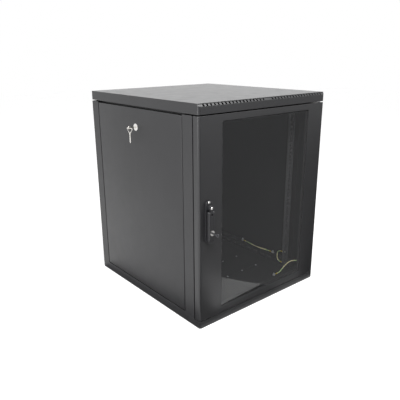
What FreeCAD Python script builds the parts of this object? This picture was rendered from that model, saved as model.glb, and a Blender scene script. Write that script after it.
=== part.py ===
import FreeCAD, Part

import math
import os

V = FreeCAD.Vector
os.makedirs("parts", exist_ok=True)

# Millimetres. +X is the cabinet's right, +Y its back, +Z up, and the origin is at
# the middle of its footprint, on the surface that it stands on.

# Overall size: a 15-unit cabinet, 600 wide and 650 deep.
WIDTH = 600.0
DEPTH = 650.0
HEIGHT = 746.0
SHEET = 1.5
CORNER_R = 8.0
REAR_CORNER_R = 2.0
EDGE_GAP = 1.0

# Base tray
FLOOR_HEIGHT = 25.0
SIDE_UPSTAND = 8.0
FOOT_FLANGE = 45.0
ENTRY_WIDTH = 318.0
ENTRY_DEPTH = 110.0
ENTRY_FROM_FRONT = 189.0
ENTRY_COVER_LAP = 8.0
FOOT_HOLE_R = 5.5
FOOT_HOLE_INSET = 27.0

# Roof
ROOF_HEIGHT = 33.0
ROOF_GAP = 4.0
ROOF_LIP_INSET = 22.0
HEM_HEIGHT = 3.0
BEVEL = 6.0
BEVEL_END = 18.0
BEVEL_MIDDLE = 18.0
SLOT_COUNT = 18
SLOT_WIDTH = 6.5

# Posts and rails of the frame
POST_WEB = 28.0
POST_FLANGE = 20.0
POST_LIP = 35.0
FRONT_POST_DEPTH = 48.0
REAR_POST_DEPTH = 45.0
REAR_POST_WEB = 38.0
LATCH_WINDOW = 84.0
TOP_RAIL_LIP = 37.0
TOP_RAIL_SET_IN = 18.0
TOP_RAIL_FLANGE = 14.0
LINTEL_HEIGHT = 19.0
LINTEL_DEPTH = 25.0
SILL_HEIGHT = 22.0

# Nineteen-inch rack rails
UNIT = 44.45
HOLE_COLUMNS = 465.1
HOLE_FIRST = 6.35
HOLE_STEP = 15.875
HOLES_PER_UNIT = 3
RACK_OPENING = 450.0
RAIL_SHEET = 2.0
RAIL_LEG = 30.0
RAIL_RETURN = 8.0
RAIL_WIDTH = 25.0
RAIL_SET_BACK = 58.0
SQUARE_HOLE = 9.5
RAIL_END_GAP = 8.0
DEPTH_RAIL_HEIGHT = 30.0
DEPTH_RAIL_FLANGE = 25.0
SLOT_PITCH = 42.0
SLOT_LENGTH = 22.0
SLOT_HEIGHT = 6.6
BOLT_R = 3.0
BOLT_HEAD = 10.0
BOLT_HEAD_THICK = 4.0

# Rear panel and wall fixing
REAR_FLANGE = 25.0
WALL_HOLE_R = 5.0
WALL_HOLES_X = 460.0
WALL_HOLE_FROM_END = 62.0
WALL_RAIL_HEIGHT = 50.0
WALL_RAIL_DEPTH = 16.0
WALL_RAIL_SHEET = 2.0

# Door
DOOR_THICK = 26.0
DOOR_GAP = 3.0
DOOR_BACK_GAP = 4.0
DOOR_LIP = 20.0
STILE_HANDLE = 95.0
STILE_HINGE = 86.0
TOP_STRIP = 21.0
BOTTOM_STRIP = 24.0
GLASS_RETURN = 14.0
GLASS = 4.0
GLASS_LAP = 11.0
GLASS_SEAL = 2.0
OPENING_R = 4.0
CLIP_WIDTH = 20.0
CLIP_FOOT = 10.0
CLIP_HOLD = 8.0
DOOR_SEAL_WIDTH = 8.0
DOOR_SEAL_CLEAR = 0.5
HINGE_FROM_SIDE = 10.0
HINGE_PIN_R = 3.0
PIN_CLEAR = 0.1
HINGE_BOLT_TRAVEL = 9.0
HINGE_PIN_BITE = 5.0

# Swing handle
HANDLE_FROM_SIDE = 36.0
HANDLE_RAISE = 8.5
HANDLE_LENGTH = 138.0
PLATE_WIDTH = 29.0
PLATE_FOOT_R = 6.0
PLATE_THICK = 7.0
ROTOR_FROM_TOP = 21.0
ROTOR_R = 8.5
ROTOR_GAP = 0.3
SPINDLE_R = 5.0
TONGUE_WIDTH = 9.0
PIVOT_DROP = 17.0
PIVOT_PIN_R = 2.0
LEVER_GAP = 0.8
LEVER_WIDTH = 25.0
LEVER_THICK = 13.0
LEVER_WALL = 2.5
LEVER_EDGE_R = 3.0
LEVER_FROM_BOTTOM = 10.0
FORK_CLEAR = 0.4
END_BLOCK_GAP = 1.2
END_BLOCK_SLOT = 5.5
LOCK_FROM_BOTTOM = 35.0
LOCK_RING_R = 8.7
LOCK_RING_PROUD = 1.2
LOCK_PLUG_R = 6.2
LOCK_PLUG_DEPTH = 7.5
DRIVE_OFFSET = 4.5
DRIVE_PIN_R = 1.2
DRIVE_PIN_LENGTH = 2.6
BOLT_PLATE = 2.0
BOLT_PLATE_WIDTH = 15.0
BOLT_PLATE_TOP = 9.0
BOLT_TONGUE_WIDTH = 8.0
BOLT_CLEAR = 0.4
LATCH_REACH = 27.0
LATCH_WIDTH = 14.0
LATCH_THICK = 3.0
LATCH_END_R = 3.0
LATCH_GAP = 1.0
LATCH_NUT = 13.0
LATCH_NUT_THICK = 4.0
HANDLE_SCREW_R = 4.0

# Hinges
HINGE_BRACKET = 2.0
HINGE_BRACKET_IN = 17.0
BOLT_BRACKET_DROP = 17.0
BOLT_SPRING_ROOM = 26.0
BOLT_SPRING_WIRE = 1.4
BOLT_SPRING_TURNS = 4
BOLT_SPRING_RUNS = 10
BOLT_COLLAR = 5.0
PIN_BRACKET_RISE = 15.0
WASHER_R = 7.0
THUMB_REACH = 22.0
THUMB_R = 2.0

# Side panels
PANEL_DEPTH = 15.0
PANEL_SEAT_GAP = 0.3
PANEL_LIP = 10.0
PANEL_TAB_WIDTH = 30.0
PANEL_TAB_DROP = 8.0
PANEL_TAB_SPREAD = 360.0
SIDE_LOCK_DROP = 68.0
SIDE_LOCK_R = 12.5
SIDE_BARREL_R = 9.0
SIDE_LOCK_PROUD = 2.2
LOCK_EDGE = 0.8
SIDE_NUT = 27.0
SIDE_NUT_THICK = 4.0
SIDE_CAM_REACH = 45.0
SIDE_CAM_WIDTH = 14.0
SIDE_CAM_THICK = 2.5
SIDE_CAM_END_R = 4.0
SIDE_CAM_GAP = 0.8

# Keys
KEY_THICK = 2.2
KEY_BLADE_WIDTH = 6.5
SIDE_KEY_IN = 14.0
HANDLE_KEY_IN = 7.0
SIDE_KEY_SHANK = 16.0
HANDLE_KEY_SHANK = 18.0
KEY_BOW_R = 6.5
KEY_HOLE_R = 3.0
SPARE_BOW_WIDTH = 36.0
SPARE_BOW_CORNER = 3.0
SPARE_BOW_NECK = 3.5
SPARE_BOW_DROP = 20.0
SPARE_WIRE = 2.8
SPARE_HANG = 0.5
SPARE_BLADE = 34.0
SPARE_BLADE_WIDTH = 6.4
SPARE_NOTCHES = 4

# Bonding leads: stranded, flexible, in yellow and green insulation
LEAD_R = 2.0
LEAD_SIDES = 8
LEAD_LIFT = 2.6
TERMINAL_REACH = 18.0
TERMINAL_R = 6.0
TERMINAL_SHEET = 1.2
BARREL_R = 2.5
BARREL_LENGTH = 11.0
STUD_R = 3.0
STUD_HEIGHT = 11.0
STUD_NUT = 10.0
STUD_NUT_THICK = 5.0

# Places that several pieces share
LEFT, RIGHT = -WIDTH / 2, WIDTH / 2
FRONT, BACK = -DEPTH / 2, DEPTH / 2
ROOF_BOTTOM = HEIGHT - ROOF_HEIGHT
FRAME_TOP = ROOF_BOTTOM - ROOF_GAP
DOOR_BOTTOM = FLOOR_HEIGHT + DOOR_GAP
DOOR_BACK = FRONT + DOOR_THICK
FRAME_FRONT = DOOR_BACK + DOOR_BACK_GAP
SIDE_FRONT = FRAME_FRONT + FRONT_POST_DEPTH
SIDE_BACK = BACK - REAR_POST_DEPTH
PANEL_BOTTOM = FLOOR_HEIGHT + SIDE_UPSTAND + PANEL_SEAT_GAP
PANEL_TOP = FRAME_TOP - EDGE_GAP
PANEL_FRONT = SIDE_FRONT + EDGE_GAP
PANEL_BACK = SIDE_BACK - EDGE_GAP
HINGE_X = RIGHT - HINGE_FROM_SIDE
HINGE_Y = FRONT + DOOR_THICK / 2
HANDLE_X = LEFT + HANDLE_FROM_SIDE
HANDLE_BOTTOM = (DOOR_BOTTOM + FRAME_TOP - HANDLE_LENGTH) / 2 + HANDLE_RAISE
HANDLE_TOP = HANDLE_BOTTOM + HANDLE_LENGTH
PLATE_FRONT = FRONT - PLATE_THICK
ROTOR_Z = HANDLE_TOP - ROTOR_FROM_TOP
PIVOT_Z = ROTOR_Z - PIVOT_DROP
LOCK_Z = HANDLE_BOTTOM + LOCK_FROM_BOTTOM
LEVER_BOTTOM = HANDLE_BOTTOM + LEVER_FROM_BOTTOM
LEVER_BACK = PLATE_FRONT - LEVER_GAP
LEVER_FRONT = LEVER_BACK - LEVER_THICK
PIVOT_Y = (LEVER_BACK + LEVER_FRONT) / 2
LATCH_FRONT = FRAME_FRONT + SHEET + LATCH_GAP
LATCH_BACK = LATCH_FRONT + LATCH_THICK
PLUG_BACK = LEVER_FRONT + LOCK_PLUG_DEPTH
BOLT_PLATE_FRONT = PLUG_BACK + BOLT_CLEAR
BOLT_BRACKET_Z = FRAME_TOP - BOLT_BRACKET_DROP
SPRING_SEAT_Z = BOLT_BRACKET_Z - BOLT_SPRING_ROOM
RAIL_FRONT = SIDE_FRONT - FRONT_POST_DEPTH + RAIL_SET_BACK
RAIL_OUT = RACK_OPENING / 2 + RAIL_WIDTH
RAIL_BOTTOM = FLOOR_HEIGHT + RAIL_END_GAP
RAIL_TOP = FRAME_TOP - RAIL_END_GAP
DEPTH_RAIL_ZS = [
    FLOOR_HEIGHT + DEPTH_RAIL_HEIGHT / 2,
    FRAME_TOP - SHEET - DEPTH_RAIL_HEIGHT / 2,
]
SIDE_LOCK_Y = (PANEL_FRONT + PANEL_BACK) / 2
SIDE_LOCK_HEIGHT = PANEL_TOP - SIDE_LOCK_DROP
CAM_OUT = LEFT + TOP_RAIL_SET_IN + SHEET + SIDE_CAM_GAP
KEY_HINGE_X = LEFT - SIDE_LOCK_PROUD - SIDE_KEY_SHANK - KEY_BOW_R


def place(u, v, axis, along):
    """The point (u, v) of a section that is drawn across one of the three axes."""
    if axis == "x":
        return V(along, u, v)
    if axis == "y":
        return V(u, along, v)
    return V(u, v, along)


def prism(outline, axis, start, end):
    """A straight bar with this outline across axis, from start to end along it."""
    corners = [place(u, v, axis, start) for u, v in outline]
    face = Part.Face(Part.makePolygon(corners + corners[:1]))
    return face.extrude(place(0, 0, axis, end - start))


def block(x0, x1, y0, y1, z0, z1):
    """A plain rectangular block between two corners."""
    return Part.makeBox(x1 - x0, y1 - y0, z1 - z0, V(x0, y0, z0))


def rod(radius, start, end):
    """A round bar from one point to another."""
    return Part.makeCylinder(radius, (end - start).Length, start, end - start)


def ring(outer, inner, start, end):
    """A round collar or washer from one point to another."""
    return rod(outer, start, end).cut(rod(inner, start, end))


def other_face(path, thickness):
    """The far face of a sheet folded along path, to the path's left, or right if negative."""
    runs = []
    for (u0, v0), (u1, v1) in zip(path, path[1:]):
        length = math.hypot(u1 - u0, v1 - v0)
        runs.append(((v0 - v1) / length, (u1 - u0) / length))
    inner = []
    for i, (u, v) in enumerate(path):
        before = runs[max(i - 1, 0)]
        after = runs[min(i, len(runs) - 1)]
        share = thickness / (1 + before[0] * after[0] + before[1] * after[1])
        inner.append((u + (before[0] + after[0]) * share, v + (before[1] + after[1]) * share))
    return inner


def folded(path, thickness, axis, start, end):
    """A sheet folded along path."""
    return prism(path + other_face(path, thickness)[::-1], axis, start, end)


def flat_runs(path, thickness, axis, start, end):
    """A sheet folded along path, as its flat runs, mitred where they meet at the bends."""
    inner = other_face(path, thickness)
    made = []
    for i in range(len(path) - 1):
        made.append(prism([path[i], path[i + 1], inner[i + 1], inner[i]], axis, start, end))
    return made


def rounded(solid, radius, axis, keep):
    """Rounds the straight edges along axis whose middles keep() accepts."""
    chosen = []
    for edge in solid.Edges:
        along = edge.tangentAt(edge.FirstParameter)
        if abs(along.dot(axis)) > 0.999 and keep(edge.CenterOfMass):
            chosen.append(edge)
    return solid.makeFillet(radius, chosen)


def rounded_block(x0, x1, y0, y1, z0, z1, front_r, rear_r):
    """A block with its upright edges rounded, the front pair more than the rear pair."""
    body = block(x0, x1, y0, y1, z0, z1)
    middle = (y0 + y1) / 2
    body = rounded(body, front_r, V(0, 0, 1), lambda p: p.y < middle)
    return rounded(body, rear_r, V(0, 0, 1), lambda p: p.y > middle)


def mirrored(shape):
    """The same piece on the other side of the cabinet."""
    return shape.mirror(V(0, 0, 0), V(1, 0, 0))


def polygon(sides, reach, middle, way):
    """An even polygon round middle, square to way, with its corners at reach."""
    along = V(way).normalize()
    side = V(0, 0, 1).cross(along) if abs(along.z) < 0.9 else V(1, 0, 0).cross(along)
    side.normalize()
    other = along.cross(side)
    corners = []
    for k in range(sides):
        turn = 2 * math.pi / sides * k
        corners.append(middle + side * (reach * math.cos(turn)) + other * (reach * math.sin(turn)))
    return Part.makePolygon(corners + corners[:1])


def hexagon(across, start, end):
    """A hexagonal bar, such as a bolt's head or a nut, from one point to another."""
    return Part.Face(polygon(6, across / math.sqrt(3), start, end - start)).extrude(end - start)


def save(name, *solids):
    """Writes one node's STEP file."""
    shape = solids[0] if len(solids) == 1 else Part.makeCompound(list(solids))
    shape.exportStep("parts/" + name + ".step")


def base_tray():
    """The folded floor with its skirts, foot flanges and side upstands."""
    tray = rounded_block(LEFT, RIGHT, FRONT, BACK, 0, FLOOR_HEIGHT, CORNER_R, REAR_CORNER_R)
    inside = rounded_block(
        LEFT + SHEET, RIGHT - SHEET, FRONT + SHEET, BACK - SHEET,
        SHEET, FLOOR_HEIGHT - SHEET, CORNER_R - SHEET, REAR_CORNER_R - SHEET,
    )
    hollow = block(
        LEFT + FOOT_FLANGE, RIGHT - FOOT_FLANGE,
        FRONT + FOOT_FLANGE, BACK - FOOT_FLANGE, -SHEET, SHEET * 2,
    )
    tray = tray.cut(inside).cut(hollow)
    for side in (LEFT, RIGHT - SHEET):
        tray = tray.fuse(
            block(side, side + SHEET, SIDE_FRONT, SIDE_BACK, FLOOR_HEIGHT - SHEET,
                  FLOOR_HEIGHT + SIDE_UPSTAND)
        )
    entry = block(
        -ENTRY_WIDTH / 2, ENTRY_WIDTH / 2,
        FRONT + ENTRY_FROM_FRONT, FRONT + ENTRY_FROM_FRONT + ENTRY_DEPTH,
        0, FLOOR_HEIGHT + SHEET,
    )
    tray = tray.cut(entry)
    for x in (LEFT + FOOT_HOLE_INSET, RIGHT - FOOT_HOLE_INSET):
        for y in (FRONT + FOOT_HOLE_INSET, BACK - FOOT_HOLE_INSET):
            tray = tray.cut(rod(FOOT_HOLE_R, V(x, y, -1), V(x, y, SHEET * 2)))
    pin = V(HINGE_X, HINGE_Y, 0)
    tray = tray.cut(rod(HINGE_PIN_R + PIN_CLEAR, pin + V(0, 0, SHEET * 2), pin + V(0, 0, FLOOR_HEIGHT + 1)))
    return tray.removeSplitter()


def floor_entry_cover():
    """A flat cover over the floor's cable entry, lapping its edges all round."""
    half = ENTRY_WIDTH / 2 + ENTRY_COVER_LAP
    front = FRONT + ENTRY_FROM_FRONT - ENTRY_COVER_LAP
    back = front + ENTRY_DEPTH + ENTRY_COVER_LAP * 2
    cover = block(-half, half, front, back, FLOOR_HEIGHT, FLOOR_HEIGHT + SHEET)
    return rounded(cover, ENTRY_COVER_LAP / 2, V(0, 0, 1), lambda p: True)


def roof_cover():
    """The folded roof: hemmed and slotted front bevel, skirts and a stepped-in lip."""
    def shell(inset):
        reach = inset * (2 - math.sqrt(2))
        bevel = BEVEL - reach
        top = HEIGHT - inset
        bottom = ROOF_BOTTOM + inset
        outline = [
            (FRONT + inset, bottom), (FRONT + inset, top - HEM_HEIGHT - bevel),
            (FRONT + inset + bevel, top - HEM_HEIGHT), (FRONT + inset + bevel, top),
            (BACK - inset, top), (BACK - inset, bottom),
        ]
        body = rounded_block(
            LEFT + inset, RIGHT - inset, FRONT + inset, BACK - inset, bottom, top,
            CORNER_R - inset, REAR_CORNER_R - inset,
        )
        return body.common(prism(outline, "x", LEFT - 1, RIGHT + 1))

    roof = shell(0).cut(shell(SHEET))
    lip_out = ROOF_LIP_INSET
    lip_front = FRAME_FRONT + LINTEL_DEPTH / 2
    hole = block(
        LEFT + lip_out + SHEET, RIGHT - lip_out - SHEET, lip_front + SHEET,
        BACK - lip_out - SHEET, FRAME_TOP - 1, ROOF_BOTTOM + SHEET * 2,
    )
    lip = block(
        LEFT + lip_out, RIGHT - lip_out, lip_front, BACK - lip_out, FRAME_TOP, ROOF_BOTTOM,
    )
    roof = roof.fuse(lip).cut(hole)
    pitch = (WIDTH / 2 - BEVEL_END - BEVEL_MIDDLE) / (SLOT_COUNT - 0.5)
    slope = BEVEL * math.sqrt(2)
    slots = []
    for side in (-1, 1):
        for k in range(SLOT_COUNT):
            x = side * (BEVEL_MIDDLE + pitch * (k + 0.25))
            cutter = Part.makeBox(SLOT_WIDTH, slope, SHEET * 3, V(-SLOT_WIDTH / 2, -slope / 2, -SHEET * 1.5))
            cutter.rotate(V(0, 0, 0), V(1, 0, 0), 45)
            cutter.translate(V(x, FRONT + BEVEL / 2, HEIGHT - HEM_HEIGHT - BEVEL / 2))
            slots.append(cutter)
    roof = roof.cut(Part.makeCompound(slots))
    pin = V(HINGE_X, HINGE_Y, 0)
    roof = roof.cut(rod(HINGE_PIN_R + PIN_CLEAR, pin + V(0, 0, ROOF_BOTTOM - 1), pin + V(0, 0, ROOF_BOTTOM + SHEET * 2)))
    return roof.removeSplitter()


def front_post():
    """The left front post: a folded channel, drawn as its flat runs."""
    path = [
        (LEFT + POST_LIP, SIDE_FRONT), (LEFT, SIDE_FRONT), (LEFT, FRAME_FRONT),
        (LEFT + POST_WEB, FRAME_FRONT), (LEFT + POST_WEB, FRAME_FRONT + POST_FLANGE),
    ]
    return flat_runs(path, SHEET, "z", FLOOR_HEIGHT, FRAME_TOP)


def latch_post():
    """The post at the handle: its inner flange stops short above and below the latch."""
    *webs, flange = front_post()
    low = ROTOR_Z - LATCH_WINDOW / 2
    high = ROTOR_Z + LATCH_WINDOW / 2
    x0, x1 = LEFT, LEFT + POST_WEB + 1
    return webs + [
        flange.common(block(x0, x1, FRAME_FRONT, SIDE_FRONT, FLOOR_HEIGHT, low)),
        flange.common(block(x0, x1, FRAME_FRONT, SIDE_FRONT, high, FRAME_TOP)),
    ]


def rear_post():
    """The left rear post."""
    path = [
        (LEFT + POST_LIP, SIDE_BACK), (LEFT, SIDE_BACK), (LEFT, BACK),
        (LEFT + REAR_POST_WEB, BACK), (LEFT + REAR_POST_WEB, BACK - POST_FLANGE),
    ]
    return folded(path, -SHEET, "z", FLOOR_HEIGHT, FRAME_TOP)


def top_rail():
    """The left top rail: it carries the roof and its lip catches the panel's cam."""
    out = LEFT + TOP_RAIL_SET_IN
    path = [
        (out + TOP_RAIL_FLANGE, FRAME_TOP), (out, FRAME_TOP), (out, FRAME_TOP - TOP_RAIL_LIP),
    ]
    return folded(path, SHEET, "y", SIDE_FRONT, SIDE_BACK)


def lintel():
    """The cross rail over the door's opening."""
    path = [
        (FRAME_FRONT + LINTEL_DEPTH, FRAME_TOP), (FRAME_FRONT, FRAME_TOP),
        (FRAME_FRONT, FRAME_TOP - LINTEL_HEIGHT), (FRAME_FRONT + POST_FLANGE / 2, FRAME_TOP - LINTEL_HEIGHT),
    ]
    return folded(path, SHEET, "x", LEFT + POST_WEB, RIGHT - POST_WEB)


def sill():
    """The cross rail under the door's opening."""
    top = FLOOR_HEIGHT + SILL_HEIGHT
    path = [
        (FRAME_FRONT + LINTEL_DEPTH, FLOOR_HEIGHT), (FRAME_FRONT, FLOOR_HEIGHT),
        (FRAME_FRONT, top), (FRAME_FRONT + POST_FLANGE / 2, top),
    ]
    return folded(path, -SHEET, "x", LEFT + POST_WEB, RIGHT - POST_WEB)


def rear_panel():
    """The rear panel: a shallow tray between the rear posts, drilled for the wall."""
    side = LEFT + REAR_POST_WEB
    outer = block(side, -side, BACK - REAR_FLANGE, BACK, FLOOR_HEIGHT, FRAME_TOP)
    inner = block(
        side + SHEET, -side - SHEET, BACK - REAR_FLANGE - 1, BACK - SHEET,
        FLOOR_HEIGHT + SHEET, FRAME_TOP - SHEET,
    )
    panel = outer.cut(inner)
    for x, z in wall_holes():
        panel = panel.cut(rod(WALL_HOLE_R, V(x, BACK - SHEET * 2, z), V(x, BACK + 1, z)))
    return panel


def wall_holes():
    """The four wall fixings, as (x, z)."""
    return [
        (x, z)
        for x in (-WALL_HOLES_X / 2, WALL_HOLES_X / 2)
        for z in (FLOOR_HEIGHT + WALL_HOLE_FROM_END, FRAME_TOP - WALL_HOLE_FROM_END)
    ]


def wall_rail(z):
    """A channel across the rear panel that spreads the wall bolts' load."""
    end = WALL_HOLES_X / 2 + WALL_RAIL_HEIGHT / 2
    half = WALL_RAIL_HEIGHT / 2
    back = BACK - SHEET
    path = [
        (back - WALL_RAIL_DEPTH, z - half), (back, z - half), (back, z + half),
        (back - WALL_RAIL_DEPTH, z + half),
    ]
    rail = folded(path, WALL_RAIL_SHEET, "x", -end, end)
    for x in (-WALL_HOLES_X / 2, WALL_HOLES_X / 2):
        rail = rail.cut(rod(WALL_HOLE_R, V(x, back - WALL_RAIL_SHEET * 2, z), V(x, BACK, z)))
    return rail


def rail_bolt_places():
    """Where each rack rail is bolted to its depth rails, as (y, z)."""
    return [(RAIL_FRONT + RAIL_LEG / 2 + RAIL_SHEET, z) for z in DEPTH_RAIL_ZS]


def depth_rail(z):
    """A left depth rail: a channel between the posts, slotted so that rack rails can move."""
    half = DEPTH_RAIL_HEIGHT / 2
    path = [
        (-RAIL_OUT - DEPTH_RAIL_FLANGE, z - half), (-RAIL_OUT, z - half), (-RAIL_OUT, z + half),
        (-RAIL_OUT - DEPTH_RAIL_FLANGE, z + half),
    ]
    rail = folded(path, SHEET, "y", SIDE_FRONT, SIDE_BACK)
    first = rail_bolt_places()[0][0]
    slots = []
    y = first
    while y + SLOT_LENGTH / 2 + EDGE_GAP < SIDE_BACK - SLOT_LENGTH:
        slots.append(
            block(-RAIL_OUT - SHEET * 2, -RAIL_OUT + 1, y - SLOT_LENGTH / 2, y + SLOT_LENGTH / 2,
                  z - SLOT_HEIGHT / 2, z + SLOT_HEIGHT / 2)
        )
        y += SLOT_PITCH
    return rail.cut(Part.makeCompound(slots))


def rack_rail():
    """The left rack rail, punched with square holes at the standard heights."""
    inner = -RACK_OPENING / 2
    path = [
        (inner, RAIL_FRONT + RAIL_RETURN), (inner, RAIL_FRONT), (-RAIL_OUT, RAIL_FRONT),
        (-RAIL_OUT, RAIL_FRONT + RAIL_LEG),
    ]
    rail = folded(path, -RAIL_SHEET, "z", RAIL_BOTTOM, RAIL_TOP)
    units = int((RAIL_TOP - RAIL_BOTTOM) / UNIT)
    start = (RAIL_BOTTOM + RAIL_TOP - units * UNIT) / 2
    holes = []
    for unit in range(units):
        for k in range(HOLES_PER_UNIT):
            z = start + unit * UNIT + HOLE_FIRST + k * HOLE_STEP
            holes.append(
                block(-HOLE_COLUMNS / 2 - SQUARE_HOLE / 2, -HOLE_COLUMNS / 2 + SQUARE_HOLE / 2,
                      RAIL_FRONT - 1, RAIL_FRONT + RAIL_SHEET * 1.5,
                      z - SQUARE_HOLE / 2, z + SQUARE_HOLE / 2)
            )
    rail = rail.cut(Part.makeCompound(holes))
    for y, z in rail_bolt_places():
        rail = rail.cut(rod(BOLT_R, V(-RAIL_OUT - 1, y, z), V(-RAIL_OUT + RAIL_SHEET * 2, y, z)))
    return rail


def rail_bolts(low_packing):
    """The left bolts and nuts that hold the rack rail to its depth rails, with room under
    the lower head for a terminal."""
    made = []
    for (y, z), packing in zip(rail_bolt_places(), (low_packing, 0)):
        inside = -RAIL_OUT + RAIL_SHEET + packing
        outside = -RAIL_OUT - SHEET
        shank = rod(BOLT_R, V(outside - BOLT_HEAD_THICK * 1.5, y, z), V(inside, y, z))
        head = hexagon(BOLT_HEAD, V(inside, y, z), V(inside + BOLT_HEAD_THICK, y, z))
        nut = hexagon(BOLT_HEAD, V(outside, y, z), V(outside - BOLT_HEAD_THICK, y, z))
        made.append(shank.fuse(head).fuse(nut))
    return made


def door_frame():
    """The folded door leaf, with the returns round its glass."""
    leaf = rounded_block(LEFT, RIGHT, FRONT, DOOR_BACK, DOOR_BOTTOM, FRAME_TOP, CORNER_R, SHEET / 2)
    inside = rounded_block(
        LEFT + SHEET, RIGHT - SHEET, FRONT + SHEET, DOOR_BACK - SHEET,
        DOOR_BOTTOM + SHEET, FRAME_TOP - SHEET, CORNER_R - SHEET, SHEET / 2,
    )
    mouth = block(
        LEFT + DOOR_LIP, RIGHT - DOOR_LIP, DOOR_BACK - SHEET * 2, DOOR_BACK + 1,
        DOOR_BOTTOM + DOOR_LIP, FRAME_TOP - DOOR_LIP,
    )
    leaf = leaf.cut(inside).cut(mouth)
    x0, x1, z0, z1 = glass_opening()
    rim = block(
        x0 - SHEET, x1 + SHEET, FRONT, FRONT + GLASS_RETURN, z0 - SHEET, z1 + SHEET,
    )
    rim = rounded(rim, OPENING_R + SHEET, V(0, 1, 0), lambda p: True)
    opening = block(x0, x1, FRONT - 1, DOOR_BACK, z0, z1)
    opening = rounded(opening, OPENING_R, V(0, 1, 0), lambda p: True)
    leaf = leaf.fuse(rim).cut(opening)
    pin = V(HINGE_X, HINGE_Y, 0)
    leaf = leaf.cut(rod(HINGE_PIN_R, pin + V(0, 0, DOOR_BOTTOM - 1), pin + V(0, 0, DOOR_BOTTOM + SHEET * 2)))
    leaf = leaf.cut(rod(HINGE_PIN_R + PIN_CLEAR, pin + V(0, 0, FRAME_TOP - SHEET * 2), pin + V(0, 0, FRAME_TOP + 1)))
    leaf = leaf.cut(
        rod(SPINDLE_R + PIN_CLEAR, V(HANDLE_X, FRONT - 1, ROTOR_Z), V(HANDLE_X, FRONT + SHEET * 2, ROTOR_Z))
    )
    return leaf.removeSplitter()


def glass_opening():
    """The door's opening as (x0, x1, z0, z1)."""
    return (
        LEFT + STILE_HANDLE, RIGHT - STILE_HINGE,
        DOOR_BOTTOM + BOTTOM_STRIP, FRAME_TOP - TOP_STRIP,
    )


def glass_pane():
    """The tempered pane behind the door's opening."""
    x0, x1, z0, z1 = glass_opening()
    front = FRONT + GLASS_RETURN + GLASS_SEAL
    pane = block(x0 - GLASS_LAP, x1 + GLASS_LAP, front, front + GLASS, z0 - GLASS_LAP, z1 + GLASS_LAP)
    return rounded(pane, OPENING_R, V(0, 1, 0), lambda p: True)


def glass_seal():
    """The bonding strip between the pane and the door's return."""
    x0, x1, z0, z1 = glass_opening()
    front = FRONT + GLASS_RETURN
    band = block(x0 - GLASS_LAP, x1 + GLASS_LAP, front, front + GLASS_SEAL, z0 - GLASS_LAP, z1 + GLASS_LAP)
    hole = block(x0, x1, front - 1, front + GLASS_SEAL + 1, z0, z1)
    return band.cut(rounded(hole, OPENING_R, V(0, 1, 0), lambda p: True))


def glass_clips():
    """Folded clips, spot welded inside the leaf, that hold the pane's edges."""
    x0, x1, z0, z1 = glass_opening()
    skin = FRONT + SHEET
    back = FRONT + GLASS_RETURN + GLASS_SEAL + GLASS
    reach = GLASS_LAP + EDGE_GAP
    half = CLIP_WIDTH / 2
    made = []
    for z in (z0 + (z1 - z0) / 5, (z0 + z1) / 2, z1 - (z1 - z0) / 5):
        for edge, way in ((x0, -1), (x1, 1)):
            path = [
                (edge + way * (reach + CLIP_FOOT), skin), (edge + way * reach, skin),
                (edge + way * reach, back), (edge + way * (reach - CLIP_HOLD), back),
            ]
            made.append(folded(path, -SHEET * way, "z", z - half, z + half))
    return made


def door_seal():
    """The foam strip on the door's back lips that closes on the frame."""
    out = (DOOR_LIP - DOOR_SEAL_WIDTH) / 2
    back = FRAME_FRONT - DOOR_SEAL_CLEAR
    right = HINGE_X - EDGE_GAP
    band = DOOR_SEAL_WIDTH
    outer = block(LEFT + out, right, DOOR_BACK, back, DOOR_BOTTOM + out, FRAME_TOP - out)
    inner = block(
        LEFT + out + band, right - band, DOOR_BACK - 1, back + 1,
        DOOR_BOTTOM + out + band, FRAME_TOP - out - band,
    )
    return outer.cut(inner)


def lever_sweep_r():
    """How far the lever's tip corners reach from the rotor's axis."""
    return math.hypot(ROTOR_Z - LEVER_BOTTOM, LEVER_WIDTH / 2)


def escutcheon():
    """The handle's plate, with the end block that the lever's tip locks into."""
    half = PLATE_WIDTH / 2
    plate = block(HANDLE_X - half, HANDLE_X + half, PLATE_FRONT, FRONT, HANDLE_BOTTOM, HANDLE_TOP)
    plate = rounded(plate, half - 1, V(0, 1, 0), lambda p: p.z > LOCK_Z)
    plate = rounded(plate, PLATE_FOOT_R, V(0, 1, 0), lambda p: p.z < LOCK_Z)
    foot = LEVER_WIDTH / 2
    end = block(HANDLE_X - foot, HANDLE_X + foot, LEVER_FRONT + SHEET, FRONT, HANDLE_BOTTOM, LOCK_Z)
    end = rounded(end, PLATE_FOOT_R, V(0, 1, 0), lambda p: p.z < LOCK_Z)
    axis = V(HANDLE_X, 0, ROTOR_Z)
    sweep = rod(lever_sweep_r() + END_BLOCK_GAP, axis + V(0, LEVER_FRONT - 1, 0), axis + V(0, PLATE_FRONT, 0))
    plate = plate.fuse(end.cut(sweep))
    slot = BOLT_TONGUE_WIDTH / 2 + BOLT_CLEAR
    keeper = block(
        HANDLE_X - slot, HANDLE_X + slot, BOLT_PLATE_FRONT - BOLT_CLEAR,
        BOLT_PLATE_FRONT + BOLT_PLATE + BOLT_CLEAR, LEVER_BOTTOM - END_BLOCK_GAP - END_BLOCK_SLOT, LOCK_Z,
    )
    spindle = rod(SPINDLE_R + PIN_CLEAR, axis + V(0, PLATE_FRONT - 1, 0), axis + V(0, FRONT + 1, 0))
    return plate.cut(keeper).cut(spindle).removeSplitter()


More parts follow.
